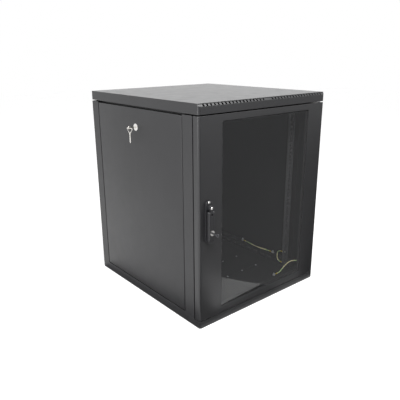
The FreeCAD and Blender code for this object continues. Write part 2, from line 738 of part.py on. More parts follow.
def rotor():
    """The turned rotor: its boss and tongue carry the lever, its spindle the latch."""
    axis = V(HANDLE_X, 0, ROTOR_Z)
    back = PLATE_FRONT - ROTOR_GAP
    boss = rod(ROTOR_R, axis + V(0, LEVER_FRONT + 1, 0), axis + V(0, back, 0))
    boss = boss.makeChamfer(1, [e for e in boss.Edges if abs(e.CenterOfMass.y - LEVER_FRONT - 1) < 0.01])
    spindle = rod(SPINDLE_R, axis + V(0, back, 0), axis + V(0, LATCH_BACK + LATCH_NUT_THICK + 1, 0))
    half = TONGUE_WIDTH / 2
    nose = LEVER_THICK / 2 - 1
    tongue = block(HANDLE_X - half, HANDLE_X + half, PIVOT_Y - nose, PIVOT_Y + nose, PIVOT_Z, ROTOR_Z)
    nose_end = rod(nose, V(HANDLE_X - half, PIVOT_Y, PIVOT_Z), V(HANDLE_X + half, PIVOT_Y, PIVOT_Z))
    pin = rod(PIVOT_PIN_R, V(HANDLE_X - half - 1, PIVOT_Y, PIVOT_Z), V(HANDLE_X + half + 1, PIVOT_Y, PIVOT_Z))
    return boss.fuse(spindle).fuse(tongue).fuse(nose_end).cut(pin).removeSplitter()


def pivot_pin():
    """The pin that joins the lever's fork to the rotor's tongue."""
    half = LEVER_WIDTH / 2 - SHEET
    return rod(PIVOT_PIN_R, V(HANDLE_X - half, PIVOT_Y, PIVOT_Z), V(HANDLE_X + half, PIVOT_Y, PIVOT_Z))


def lever():
    """The cast lever: forked over the rotor's tongue, hollow behind for the lock."""
    half = LEVER_WIDTH / 2
    nose = LEVER_THICK / 2
    body = block(HANDLE_X - half, HANDLE_X + half, LEVER_FRONT, LEVER_BACK, LEVER_BOTTOM, PIVOT_Z)
    body = body.fuse(rod(nose, V(HANDLE_X - half, PIVOT_Y, PIVOT_Z), V(HANDLE_X + half, PIVOT_Y, PIVOT_Z)))
    body = body.removeSplitter()
    body = rounded(body, LEVER_EDGE_R, V(0, 0, 1), lambda p: p.y < PIVOT_Y)
    gap = TONGUE_WIDTH / 2 + FORK_CLEAR
    fork = block(
        HANDLE_X - gap, HANDLE_X + gap, LEVER_FRONT - 1, LEVER_BACK + 1,
        PIVOT_Z - LEVER_THICK / 2 - FORK_CLEAR * 2, PIVOT_Z + LEVER_THICK,
    )
    pocket = block(
        HANDLE_X - half + LEVER_WALL, HANDLE_X + half - LEVER_WALL, LEVER_FRONT + LOCK_PLUG_DEPTH,
        LEVER_BACK + 1, LEVER_BOTTOM + LEVER_WALL, LOCK_Z + BOLT_PLATE_TOP + BOLT_CLEAR * 4,
    )
    slot = BOLT_TONGUE_WIDTH / 2 + BOLT_CLEAR
    mouth = block(
        HANDLE_X - slot, HANDLE_X + slot, BOLT_PLATE_FRONT - BOLT_CLEAR,
        BOLT_PLATE_FRONT + BOLT_PLATE + BOLT_CLEAR, LEVER_BOTTOM - 1, LOCK_Z,
    )
    lock = V(HANDLE_X, 0, LOCK_Z)
    bore = rod(LOCK_RING_R, lock + V(0, LEVER_FRONT - 1, 0), lock + V(0, PLUG_BACK + 1, 0))
    pin = rod(PIVOT_PIN_R, V(HANDLE_X - half + SHEET, PIVOT_Y, PIVOT_Z), V(HANDLE_X + half - SHEET, PIVOT_Y, PIVOT_Z))
    return body.cut(fork).cut(pocket).cut(mouth).cut(bore).cut(pin).removeSplitter()


def handle_lock_ring():
    """The plated collar that holds the lock plug in the lever."""
    lock = V(HANDLE_X, 0, LOCK_Z)
    return ring(
        LOCK_RING_R, LOCK_PLUG_R + PIN_CLEAR,
        lock + V(0, LEVER_FRONT - LOCK_RING_PROUD, 0), lock + V(0, PLUG_BACK, 0),
    )


def handle_lock_plug():
    """The lock plug, cut for its key, with the off-centre pin that drives the bolt."""
    lock = V(HANDLE_X, 0, LOCK_Z)
    front = LEVER_FRONT - LOCK_RING_PROUD
    plug = rod(LOCK_PLUG_R, lock + V(0, front, 0), lock + V(0, PLUG_BACK, 0))
    drive = lock + V(-DRIVE_OFFSET, 0, 0)
    plug = plug.fuse(rod(DRIVE_PIN_R, drive + V(0, PLUG_BACK, 0), drive + V(0, PLUG_BACK + DRIVE_PIN_LENGTH, 0)))
    slot = block(
        HANDLE_X - KEY_THICK / 2, HANDLE_X + KEY_THICK / 2, front - 1, front + HANDLE_KEY_IN,
        LOCK_Z - KEY_BLADE_WIDTH / 2, LOCK_Z + KEY_BLADE_WIDTH / 2,
    )
    return plug.cut(slot)


def lock_bolt():
    """The flat bolt that the plug's pin pushes down into the end block."""
    half = BOLT_PLATE_WIDTH / 2
    low = LEVER_BOTTOM + LEVER_WALL + DRIVE_OFFSET + BOLT_CLEAR
    plate = block(
        HANDLE_X - half, HANDLE_X + half, BOLT_PLATE_FRONT, BOLT_PLATE_FRONT + BOLT_PLATE,
        low, LOCK_Z + BOLT_PLATE_TOP,
    )
    tongue = block(
        HANDLE_X - BOLT_TONGUE_WIDTH / 2, HANDLE_X + BOLT_TONGUE_WIDTH / 2, BOLT_PLATE_FRONT,
        BOLT_PLATE_FRONT + BOLT_PLATE, LEVER_BOTTOM, low,
    )
    play = DRIVE_PIN_R + BOLT_CLEAR + DRIVE_OFFSET * 0.22
    window = block(
        HANDLE_X - DRIVE_OFFSET - DRIVE_PIN_R - BOLT_CLEAR, HANDLE_X + DRIVE_PIN_R + BOLT_CLEAR,
        BOLT_PLATE_FRONT - 1, BOLT_PLATE_FRONT + BOLT_PLATE + 1, LOCK_Z - play, LOCK_Z + play,
    )
    return plate.fuse(tongue).cut(window).removeSplitter()


def latch_cam():
    """The latch on the spindle's end: upright when released, behind the post when turned."""
    half = LATCH_WIDTH / 2
    axis = V(HANDLE_X, 0, ROTOR_Z)
    arm = block(HANDLE_X - half, HANDLE_X + half, LATCH_FRONT, LATCH_BACK, ROTOR_Z, ROTOR_Z + LATCH_REACH)
    arm = rounded(arm, LATCH_END_R, V(0, 1, 0), lambda p: p.z > ROTOR_Z + LATCH_REACH / 2)
    hub = rod(half, axis + V(0, LATCH_FRONT, 0), axis + V(0, LATCH_BACK, 0))
    hole = rod(SPINDLE_R, axis + V(0, LATCH_FRONT - 1, 0), axis + V(0, LATCH_BACK + 1, 0))
    return arm.fuse(hub).cut(hole).removeSplitter()


def latch_nut():
    """The nut that holds the latch on the spindle."""
    axis = V(HANDLE_X, 0, ROTOR_Z)
    nut = hexagon(LATCH_NUT, axis + V(0, LATCH_BACK, 0), axis + V(0, LATCH_BACK + LATCH_NUT_THICK, 0))
    return nut.cut(rod(SPINDLE_R, axis + V(0, LATCH_BACK - 1, 0), axis + V(0, LATCH_BACK + LATCH_NUT_THICK + 1, 0)))


def handle_screw():
    """The plated screw at the top of the handle's plate."""
    middle = V(HANDLE_X, PLATE_FRONT, HANDLE_TOP - HANDLE_SCREW_R - 1.5)
    head = Part.makeSphere(HANDLE_SCREW_R * 1.25, middle + V(0, HANDLE_SCREW_R * 0.75, 0))
    above = block(
        HANDLE_X - HANDLE_SCREW_R * 2, HANDLE_X + HANDLE_SCREW_R * 2, PLATE_FRONT - HANDLE_SCREW_R * 2,
        PLATE_FRONT, HANDLE_TOP - HANDLE_SCREW_R * 4, HANDLE_TOP + HANDLE_SCREW_R,
    )
    return head.common(above)


def hinge_bracket(z):
    """A plate welded inside the door's hinge side that steadies a hinge pin."""
    plate = block(
        RIGHT - SHEET - HINGE_BRACKET_IN, RIGHT - SHEET, FRONT + CORNER_R, DOOR_BACK - SHEET * 2, z, z + HINGE_BRACKET,
    )
    hole = V(HINGE_X, HINGE_Y, z)
    return plate.cut(rod(HINGE_PIN_R + PIN_CLEAR, hole - V(0, 0, 1), hole + V(0, 0, HINGE_BRACKET + 1)))


def bottom_hinge_pin():
    """The fixed pin that the door stands on."""
    foot = V(HINGE_X, HINGE_Y, FLOOR_HEIGHT - HINGE_PIN_BITE)
    top = V(HINGE_X, HINGE_Y, DOOR_BOTTOM + PIN_BRACKET_RISE + HINGE_BRACKET)
    return rod(HINGE_PIN_R, foot, top)


def hinge_washer():
    """The nylon washer that carries the door on the tray."""
    foot = V(HINGE_X, HINGE_Y, FLOOR_HEIGHT)
    return ring(WASHER_R, HINGE_PIN_R + PIN_CLEAR, foot, foot + V(0, 0, DOOR_GAP - PIN_CLEAR * 2))


def top_hinge_bolt():
    """The sprung top pin: pulled down by its thumb piece, it lets the door lift off."""
    axis = V(HINGE_X, HINGE_Y, 0)
    top = ROOF_BOTTOM + SHEET + HINGE_PIN_BITE / 2
    low = SPRING_SEAT_Z - HINGE_BOLT_TRAVEL
    pin = rod(HINGE_PIN_R, axis + V(0, 0, low), axis + V(0, 0, top))
    collar_top = BOLT_BRACKET_Z - PIN_CLEAR
    collar = rod(HINGE_PIN_R + 2, axis + V(0, 0, collar_top - BOLT_COLLAR), axis + V(0, 0, collar_top))
    thumb_z = collar_top - BOLT_COLLAR / 2
    thumb = rod(THUMB_R, axis + V(0, 0, thumb_z), axis + V(-THUMB_REACH, 0, thumb_z))
    tip = axis + V(-THUMB_REACH, 0, thumb_z)
    knob = rod(THUMB_R * 1.5, tip - V(0, THUMB_R * 2, 0), tip + V(0, THUMB_R * 2, 0))
    return pin.fuse(collar).fuse(thumb).fuse(knob).removeSplitter()


def bolt_spring():
    """The coil spring under the top pin's collar, its wire drawn in short flat runs."""
    wire = BOLT_SPRING_WIRE / 2
    low = SPRING_SEAT_Z + HINGE_BRACKET + wire + PIN_CLEAR
    room = BOLT_BRACKET_Z - PIN_CLEAR * 2 - BOLT_COLLAR - wire - low
    radius = HINGE_PIN_R + wire + PIN_CLEAR * 3
    steps = BOLT_SPRING_TURNS * BOLT_SPRING_RUNS
    rise = room / steps
    sections = []
    for k in range(steps + 1):
        turn = 2 * math.pi * k / BOLT_SPRING_RUNS
        arm = V(math.cos(turn), math.sin(turn), 0)
        middle = V(HINGE_X, HINGE_Y, low + rise * k) + arm * radius
        up = V(0, 0, wire)
        out = arm * wire
        corners = [middle + out, middle + up, middle - out, middle - up]
        sections.append(Part.makePolygon(corners + corners[:1]))
    return Part.makeLoft(sections, True, True)


def side_panel():
    """The left side panel: a shallow tray with turned-in lips and two foot tabs."""
    inner = LEFT + PANEL_DEPTH
    outer = block(LEFT, inner, PANEL_FRONT, PANEL_BACK, PANEL_BOTTOM, PANEL_TOP)
    hollow = block(
        LEFT + SHEET, inner - SHEET, PANEL_FRONT + SHEET, PANEL_BACK - SHEET,
        PANEL_BOTTOM + SHEET, PANEL_TOP - SHEET,
    )
    mouth = block(
        inner - SHEET * 2, inner + 1, PANEL_FRONT + PANEL_LIP, PANEL_BACK - PANEL_LIP,
        PANEL_BOTTOM + PANEL_LIP, PANEL_TOP - PANEL_LIP,
    )
    panel = outer.cut(hollow).cut(mouth)
    for y in (SIDE_LOCK_Y - PANEL_TAB_SPREAD / 2, SIDE_LOCK_Y + PANEL_TAB_SPREAD / 2):
        tab_x = LEFT + SHEET * 3
        panel = panel.fuse(
            block(tab_x, tab_x + SHEET, y - PANEL_TAB_WIDTH / 2, y + PANEL_TAB_WIDTH / 2,
                  PANEL_BOTTOM - PANEL_TAB_DROP, PANEL_BOTTOM + SHEET)
        )
    lock = side_lock_point(LEFT)
    return panel.cut(rod(SIDE_BARREL_R, lock - V(1, 0, 0), lock + V(SHEET * 2, 0, 0))).removeSplitter()


def side_lock_point(x):
    """The point at this x on the left side lock's axis."""
    return V(x, SIDE_LOCK_Y, SIDE_LOCK_HEIGHT)


def side_lock_housing():
    """The plated housing with its round flange and threaded barrel."""
    face = side_lock_point(LEFT - SIDE_LOCK_PROUD)
    flange = rod(SIDE_LOCK_R, face, side_lock_point(LEFT))
    flange = flange.makeChamfer(LOCK_EDGE, [e for e in flange.Edges if abs(e.CenterOfMass.x - face.x) < 0.01])
    barrel = rod(SIDE_BARREL_R, side_lock_point(LEFT), side_lock_point(CAM_OUT - PIN_CLEAR * 3))
    bore = rod(LOCK_PLUG_R + PIN_CLEAR, face - V(1, 0, 0), side_lock_point(CAM_OUT + 1))
    return flange.fuse(barrel).cut(bore).removeSplitter()


def side_lock_nut():
    """The nut that clamps the housing to the panel from inside."""
    start = side_lock_point(LEFT + SHEET)
    end = side_lock_point(LEFT + SHEET + SIDE_NUT_THICK)
    return hexagon(SIDE_NUT, start, end).cut(rod(SIDE_BARREL_R, start - V(1, 0, 0), end + V(1, 0, 0)))


def side_lock_plug():
    """The plug, with a slot for the key and a stub that carries the cam."""
    front = side_lock_point(LEFT - SIDE_LOCK_PROUD)
    plug = rod(LOCK_PLUG_R, front, side_lock_point(CAM_OUT))
    stub = rod(LOCK_PLUG_R / 2, side_lock_point(CAM_OUT), side_lock_point(CAM_OUT + SIDE_CAM_THICK))
    slot = block(
        front.x - 1, front.x + SIDE_KEY_IN, SIDE_LOCK_Y - KEY_THICK / 2, SIDE_LOCK_Y + KEY_THICK / 2,
        SIDE_LOCK_HEIGHT - KEY_BLADE_WIDTH / 2, SIDE_LOCK_HEIGHT + KEY_BLADE_WIDTH / 2,
    )
    return plug.fuse(stub).cut(slot).removeSplitter()


def side_lock_cam():
    """The flat cam: along the panel when released, up behind the top rail when locked."""
    half = SIDE_CAM_WIDTH / 2
    start, end = side_lock_point(CAM_OUT), side_lock_point(CAM_OUT + SIDE_CAM_THICK)
    arm = block(
        start.x, end.x, SIDE_LOCK_Y, SIDE_LOCK_Y + SIDE_CAM_REACH,
        SIDE_LOCK_HEIGHT - half, SIDE_LOCK_HEIGHT + half,
    )
    arm = rounded(arm, SIDE_CAM_END_R, V(1, 0, 0), lambda p: p.y > SIDE_LOCK_Y + half)
    hole = rod(LOCK_PLUG_R / 2, start - V(1, 0, 0), end + V(1, 0, 0))
    return arm.fuse(rod(half, start, end)).cut(hole).removeSplitter()


def cam_screw():
    """The screw and washer on the plug's end that keep the cam on."""
    start = side_lock_point(CAM_OUT + SIDE_CAM_THICK)
    return rod(LOCK_PLUG_R * 0.8, start, start + V(SHEET, 0, 0))


def key(face, way, shank, inside):
    """A flat key in a lock whose plug ends at face: blade, shank and pierced bow."""
    side = V(0, 0, 1).cross(way)
    thick = side * (KEY_THICK / 2)
    low = face - way * inside - V(0, 0, KEY_BLADE_WIDTH / 2) - thick
    along = way * (inside + shank + KEY_BOW_R)
    tall = V(0, 0, KEY_BLADE_WIDTH)
    corners = [low, low + along, low + along + tall, low + tall]
    blade = Part.Face(Part.makePolygon(corners + corners[:1])).extrude(thick * 2)
    middle = face + way * (shank + KEY_BOW_R)
    bow = rod(KEY_BOW_R, middle - thick, middle + thick)
    hole = rod(KEY_HOLE_R, middle - thick * 2, middle + thick * 2)
    return blade.fuse(bow).cut(hole).removeSplitter()


def spare_key():
    """The second key: its hollow triangular bow hangs in the first key's hole."""
    half, drop, wire = SPARE_BOW_WIDTH / 2, SPARE_BOW_DROP, SPARE_WIRE
    corner, neck = SPARE_BOW_CORNER, SPARE_BOW_NECK
    top = SIDE_LOCK_HEIGHT - KEY_HOLE_R + SPARE_HANG + wire
    start, end = KEY_HINGE_X - wire * 0.35, KEY_HINGE_X + wire * 0.35

    def drawn(points):
        return prism([(SIDE_LOCK_Y + u, top + v) for u, v in points], "x", start, end)

    bow = drawn([
        (corner - half, 0), (half - corner, 0), (half, -corner * 1.5),
        (neck, -drop), (-neck, -drop), (-half, -corner * 1.5),
    ])
    hollow = drawn([
        (wire + corner - half, -wire), (half - corner - wire, -wire), (half - wire, -wire * 2),
        (neck / 3, wire - drop), (-neck / 3, wire - drop), (wire - half, -wire * 2),
    ])
    side, shallow = SPARE_BLADE_WIDTH / 2, SPARE_BLADE_WIDTH / 4
    tip = -drop - SPARE_BLADE
    notch = (SPARE_BLADE - side) / SPARE_NOTCHES
    blade = [(side, 1 - drop), (-side, 1 - drop), (-side, tip + side), (0, tip)]
    for k in range(SPARE_NOTCHES):
        foot = tip + side + notch * k
        blade += [(shallow, foot), (side, foot + notch / 2), (side, foot + notch * 0.8)]
    return bow.cut(hollow).fuse(drawn(blade)).removeSplitter()


# Each lead's route, from one ring terminal's barrel to the other's.
ON_FLOOR = FLOOR_HEIGHT + LEAD_LIFT
ON_RAIL = FLOOR_HEIGHT + DEPTH_RAIL_HEIGHT + LEAD_LIFT
BY_LEG = RAIL_OUT - RAIL_SHEET - LEAD_LIFT
BOLT_Y, LOW_BOLT_Z = rail_bolt_places()[0]
DEPTH_RAIL_LEAD = [
    V(RAIL_OUT + 15, SIDE_LOCK_Y + 8, ON_RAIL), V(RAIL_OUT + 14, SIDE_LOCK_Y - 10, ON_RAIL),
    V(RAIL_OUT + 8, SIDE_LOCK_Y - 40, ON_RAIL), V(RAIL_OUT + 5.5, SIDE_LOCK_Y - 72, ON_RAIL),
    V(RAIL_OUT + 8, SIDE_LOCK_Y - 104, ON_RAIL), V(RAIL_OUT + 12, SIDE_LOCK_Y - 124, ON_RAIL),
    V(RAIL_OUT + 13, SIDE_LOCK_Y - 142, ON_RAIL),
]
RACK_RAIL_LEAD = [
    V(BY_LEG, BOLT_Y + TERMINAL_REACH, LOW_BOLT_Z + 48), V(BY_LEG, BOLT_Y + 28, LOW_BOLT_Z + 47),
    V(BY_LEG, BOLT_Y + 35, LOW_BOLT_Z + 37), V(BY_LEG, BOLT_Y + 37, LOW_BOLT_Z + 24),
    V(BY_LEG, BOLT_Y + 35, LOW_BOLT_Z + 10), V(BY_LEG, BOLT_Y + 27, LOW_BOLT_Z),
    V(BY_LEG, BOLT_Y + TERMINAL_REACH, LOW_BOLT_Z),
]
DOOR_LEAD = [
    V(HINGE_X - 121, FRONT + 74, ON_FLOOR), V(HINGE_X - 107, FRONT + 73.5, ON_FLOOR),
    V(HINGE_X - 95, FRONT + 70, ON_FLOOR + 14), V(HINGE_X - 81, FRONT + 65, ON_FLOOR + 29),
    V(HINGE_X - 71, FRONT + 55, ON_FLOOR + 44), V(HINGE_X - 59, FRONT + 40, ON_FLOOR + 52),
    V(HINGE_X - 44, FRONT + 24, ON_FLOOR + 50), V(HINGE_X - 36, FRONT + 12, ON_FLOOR + 56),
    V(HINGE_X - 33, FRONT + SHEET + LEAD_LIFT, ON_FLOOR + 68),
    V(HINGE_X - 33, FRONT + SHEET + LEAD_LIFT, ON_FLOOR + 80),
]


def lead(name, route):
    """A bonding lead: straight runs joined by tangent arcs, its section an even polygon
    with the round lead's area."""
    edges = []
    start = route[0]
    radii = []
    for before, corner, after in zip(route, route[1:], route[2:]):
        into, out = (corner - before), (after - corner)
        short = min(into.Length, out.Length)
        into.normalize()
        out.normalize()
        turn = math.acos(max(-1, min(1, into.dot(out))))
        cut = 0.45 * short
        radii.append(cut / math.tan(turn / 2))
        first, last = corner - into * cut, corner + out * cut
        bisector = (out - into).normalize()
        middle = corner + bisector * (radii[-1] / math.cos(turn / 2) - radii[-1])
        edges += [Part.LineSegment(start, first).toShape(), Part.Arc(first, middle, last).toShape()]
        start = last
    edges.append(Part.LineSegment(start, route[-1]).toShape())
    path = Part.Wire(edges)
    print(name, "radii", " ".join("%.0f" % r for r in radii), "length %.1f" % path.Length)
    reach = LEAD_R * math.sqrt(2 * math.pi / LEAD_SIDES / math.sin(2 * math.pi / LEAD_SIDES))
    section = polygon(LEAD_SIDES, reach, route[0], route[1] - route[0])
    tube = path.makePipeShell([section], True, True)
    print(name, "volume over section times length %.4f" % (tube.Volume / (math.pi * LEAD_R ** 2 * path.Length)))
    return tube


def terminal(end, inward, normal):
    """A ring terminal at a lead's end, lying on the surface below it."""
    way = (end - inward).normalize()
    flat = (way - normal * way.dot(normal)).normalize()
    barrel = rod(BARREL_R, end, end + way * BARREL_LENGTH)
    eye = terminal_eye(end, inward, normal)
    plate = rod(TERMINAL_R, eye, eye + normal * TERMINAL_SHEET)
    side = normal.cross(flat) * (BARREL_R * 0.8)
    foot = end - normal * LEAD_LIFT
    corners = [foot - side, foot + side, eye + side, eye - side]
    neck = Part.Face(Part.makePolygon(corners + corners[:1])).extrude(normal * TERMINAL_SHEET)
    hole = rod(STUD_R, eye - normal, eye + normal * (TERMINAL_SHEET + 1))
    return barrel.fuse(neck).fuse(plate).cut(hole).removeSplitter()


def terminal_eye(end, inward, normal):
    """Where a lead end's stud stands."""
    way = (end - inward).normalize()
    flat = (way - normal * way.dot(normal)).normalize()
    return end + flat * TERMINAL_REACH - normal * LEAD_LIFT


def ground_stud(foot, normal):
    """A welded stud with the nut that clamps its ring terminal."""
    stud = rod(STUD_R, foot, foot + normal * STUD_HEIGHT)
    seat = foot + normal * TERMINAL_SHEET
    return stud.fuse(hexagon(STUD_NUT, seat, seat + normal * STUD_NUT_THICK)).removeSplitter()


save("base_tray", base_tray())
save("floor_entry_cover", floor_entry_cover())
save("roof_cover", roof_cover())
save("left_front_post", *latch_post())
save("right_front_post", *[mirrored(run) for run in front_post()])
save("left_rear_post", rear_post())
save("right_rear_post", mirrored(rear_post()))
save("left_top_rail", top_rail())
save("right_top_rail", mirrored(top_rail()))
save("front_lintel", lintel())
save("front_sill", sill())
save("rear_panel", rear_panel())
wall_heights = sorted({z for _, z in wall_holes()})
save("wall_rails", *[wall_rail(z) for z in wall_heights])
save("left_depth_rails", *[depth_rail(z) for z in DEPTH_RAIL_ZS])
save("right_depth_rails", *[mirrored(depth_rail(z)) for z in DEPTH_RAIL_ZS])
save("left_rack_rail", rack_rail())
save("right_rack_rail", mirrored(rack_rail()))
save("rack_rail_bolts", *rail_bolts(0), *[mirrored(bolt) for bolt in rail_bolts(TERMINAL_SHEET)])
save("door_frame", door_frame())
save("glass_pane", glass_pane())
save("glass_seal", glass_seal())
save("glass_clips", *glass_clips())
save("door_seal", door_seal())

save("handle_plate", escutcheon())
save("handle_screw", handle_screw())
save("handle_rotor", rotor())
save("pivot_pin", pivot_pin())
save("handle_lever", lever())
save("handle_lock_ring", handle_lock_ring())
save("handle_lock_plug", handle_lock_plug())
save("lock_bolt", lock_bolt())
save("latch_cam", latch_cam())
save("latch_nut", latch_nut())
save("handle_key", key(V(HANDLE_X, LEVER_FRONT - LOCK_RING_PROUD, LOCK_Z), V(0, -1, 0),
    HANDLE_KEY_SHANK, HANDLE_KEY_IN))

save("hinge_brackets", *[
    hinge_bracket(z) for z in (DOOR_BOTTOM + PIN_BRACKET_RISE, SPRING_SEAT_Z, BOLT_BRACKET_Z)])
save("bottom_hinge_pin", bottom_hinge_pin())
save("hinge_washer", hinge_washer())
save("top_hinge_bolt", top_hinge_bolt())
save("bolt_spring", bolt_spring())

side_key = key(side_lock_point(LEFT - SIDE_LOCK_PROUD), V(-1, 0, 0), SIDE_KEY_SHANK, SIDE_KEY_IN)
save("left_side_panel", side_panel())
save("right_side_panel", mirrored(side_panel()))
save("left_lock_housing", side_lock_housing(), side_lock_nut())
save("right_lock_housing", mirrored(side_lock_housing()), mirrored(side_lock_nut()))
save("left_lock_plug", side_lock_plug())
save("right_lock_plug", mirrored(side_lock_plug()))
save("left_lock_cam", side_lock_cam(), cam_screw())
save("right_lock_cam", mirrored(side_lock_cam()), mirrored(cam_screw()))
save("side_key", side_key)
save("spare_key", spare_key())

UP = V(0, 0, 1)
OUT_OF_RAIL = V(-1, 0, 0)
OUT_OF_DOOR = V(0, 1, 0)
save("depth_rail_lead", lead("depth_rail_lead", DEPTH_RAIL_LEAD))
save("rack_rail_lead", lead("rack_rail_lead", RACK_RAIL_LEAD))
save("door_lead", lead("door_lead", DOOR_LEAD))
fixed_ends = [
    (DEPTH_RAIL_LEAD[0], DEPTH_RAIL_LEAD[1], UP), (DEPTH_RAIL_LEAD[-1], DEPTH_RAIL_LEAD[-2], UP),
    (RACK_RAIL_LEAD[0], RACK_RAIL_LEAD[1], OUT_OF_RAIL), (DOOR_LEAD[0], DOOR_LEAD[1], UP),
]
bolted_end = (RACK_RAIL_LEAD[-1], RACK_RAIL_LEAD[-2], OUT_OF_RAIL)
door_end = (DOOR_LEAD[-1], DOOR_LEAD[-2], OUT_OF_DOOR)
save("ring_terminals", *[terminal(*end) for end in fixed_ends + [bolted_end]])
save("ground_studs", *[ground_stud(terminal_eye(*end), end[2]) for end in fixed_ends])
save("door_terminal", terminal(*door_end))
save("door_stud", ground_stud(terminal_eye(*door_end), door_end[2]))
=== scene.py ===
import math

import bmesh
import bpy
from mathutils import Matrix, Vector


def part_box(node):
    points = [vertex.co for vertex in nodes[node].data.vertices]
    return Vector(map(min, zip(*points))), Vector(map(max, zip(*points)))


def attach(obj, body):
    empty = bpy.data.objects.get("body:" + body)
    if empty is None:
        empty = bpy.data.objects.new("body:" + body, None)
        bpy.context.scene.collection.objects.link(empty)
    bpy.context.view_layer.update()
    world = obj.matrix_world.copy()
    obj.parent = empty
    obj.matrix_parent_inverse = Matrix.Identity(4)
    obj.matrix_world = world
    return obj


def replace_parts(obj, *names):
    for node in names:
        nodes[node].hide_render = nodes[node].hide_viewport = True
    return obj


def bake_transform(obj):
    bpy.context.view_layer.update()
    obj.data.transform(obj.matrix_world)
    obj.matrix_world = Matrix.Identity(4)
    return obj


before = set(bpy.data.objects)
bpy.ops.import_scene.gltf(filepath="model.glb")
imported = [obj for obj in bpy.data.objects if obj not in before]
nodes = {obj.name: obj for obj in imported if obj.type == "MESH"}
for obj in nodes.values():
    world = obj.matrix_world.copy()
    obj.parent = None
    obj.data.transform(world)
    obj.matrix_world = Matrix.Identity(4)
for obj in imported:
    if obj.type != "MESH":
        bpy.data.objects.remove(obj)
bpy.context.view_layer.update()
scene = bpy.context.scene

# ---------------------------------------------------------------- Camera
# On a tall tripod in front of the cabinet's left corner, looking a little down through a lens
# of ordinary length.

camera_data = bpy.data.cameras.new("camera")
camera_data.sensor_width = 36
camera_data.lens = 42.35
camera_data.clip_end = 50
camera = bpy.data.objects.new("camera", camera_data)
scene.collection.objects.link(camera)
scene.camera = camera
tripod_head = (-1.1775, -1.3833, 0.8916)
yaw = math.radians(39.785)
down = math.radians(17.593)
roll = math.radians(-0.3873)
look = Vector((math.sin(yaw) * math.cos(down), math.cos(yaw) * math.cos(down), -math.sin(down)))
camera.matrix_world = (
    Matrix.Translation(tripod_head)
    @ look.to_track_quat("-Z", "Y").to_matrix().to_4x4()
    @ Matrix.Rotation(roll, 4, "Z")
)
scene.view_settings.view_transform = "Standard"

# ---------------------------------------------------------------- Studio
# A white floor in a white room, with a wide soft lamp behind the cabinet, two at its left, a
# small one over its left front corner and one overhead.


def node(tree, kind, settings=None, **inputs):
    """Adds a node to a material or world, with these settings and input values."""
    made = tree.nodes.new(kind)
    for name, value in (settings or {}).items():
        setattr(made, name, value)
    for name, value in inputs.items():
        made.inputs[name.replace("_", " ")].default_value = value
    return made


def joined(tree, source, target):
    """Wires an output to an input."""
    tree.links.new(source, target)


room = bpy.data.worlds.new("room")
room.use_nodes = True
tree = room.node_tree
seen = node(tree, "ShaderNodeLightPath")
mirrored = node(tree, "ShaderNodeMath", {"operation": "MAXIMUM"})
through = node(tree, "ShaderNodeMath", {"operation": "MAXIMUM"})
joined(tree, seen.outputs["Is Camera Ray"], mirrored.inputs[0])
joined(tree, seen.outputs["Is Glossy Ray"], mirrored.inputs[1])
joined(tree, mirrored.outputs[0], through.inputs[0])
joined(tree, seen.outputs["Is Transmission Ray"], through.inputs[1])
level = node(tree, "ShaderNodeMapRange", To_Min=0.45, To_Max=1.0)
joined(tree, through.outputs[0], level.inputs["Value"])
joined(tree, level.outputs["Result"], tree.nodes["Background"].inputs["Strength"])
tree.nodes["Background"].inputs["Color"].default_value = (1, 1, 1, 1)
scene.world = room


def lamp(name, place, target, width, height, power):
    """A soft lamp hung at place and turned to target."""
    data = bpy.data.lights.new(name, "AREA")
    data.shape = "RECTANGLE"
    data.size = width
    data.size_y = height
    data.energy = power
    hung = bpy.data.objects.new(name, data)
    hung.location = place
    hung.rotation_euler = (Vector(target) - Vector(place)).to_track_quat("-Z", "Y").to_euler()
    hung.visible_camera = False
    scene.collection.objects.link(hung)


lamp("back_lamp", (3.0, 3.6, 1.3), (0, 0, 0.7), 5.0, 1.6, 12.5)
lamp("left_lamp", (-2.3, -0.25, 0.95), (-0.3, -0.3, 0.6), 1.0, 1.7, 23)
lamp("side_lamp", (-3.4, 1.2, 1.5), (-0.3, 0, 0.3), 2.0, 2.2, 17)
lamp("front_lamp", (-0.6, -0.9, 1.5), (-0.1, -0.33, 0.5), 0.6, 0.6, 18)
lamp("top_lamp", (0.5, -0.6, 2.6), (0, -0.1, 0.7), 1.6, 1.2, 44)


def plain(name, colour, roughness):
    """A plain studio surface."""
    surface = bpy.data.materials.new(name)
    surface.use_nodes = True
    shader = surface.node_tree.nodes["Principled BSDF"]
    shader.inputs["Base Color"].default_value = (*colour, 1)
    shader.inputs["Roughness"].default_value = roughness
    return surface


def studio_board(name, corners, material):
    """A flat board of the studio."""
    data = bpy.data.meshes.new(name)
    data.from_pydata(corners, [], [tuple(range(len(corners)))])
    data.materials.append(material)
    board = bpy.data.objects.new(name, data)
    scene.collection.objects.link(board)
    return board


white_floor = plain("white_floor", (0.55, 0.55, 0.55), 0.8)
tree = white_floor.node_tree
seen = node(tree, "ShaderNodeLightPath")
kept = node(tree, "ShaderNodeMath", {"operation": "MAXIMUM"})
joined(tree, seen.outputs["Is Camera Ray"], kept.inputs[0])
joined(tree, seen.outputs["Is Glossy Ray"], kept.inputs[1])
joined(tree, kept.outputs[0], tree.nodes["Principled BSDF"].inputs["Emission Strength"])
tree.nodes["Principled BSDF"].inputs["Emission Color"].default_value = (0.68, 0.68, 0.68, 1)
reach, sunk = 9.0, -0.0006
floor_corners = ((-reach, -reach), (reach, -reach), (reach, reach), (-reach, reach))
studio_board("floor", [(x, y, sunk) for x, y in floor_corners], white_floor)
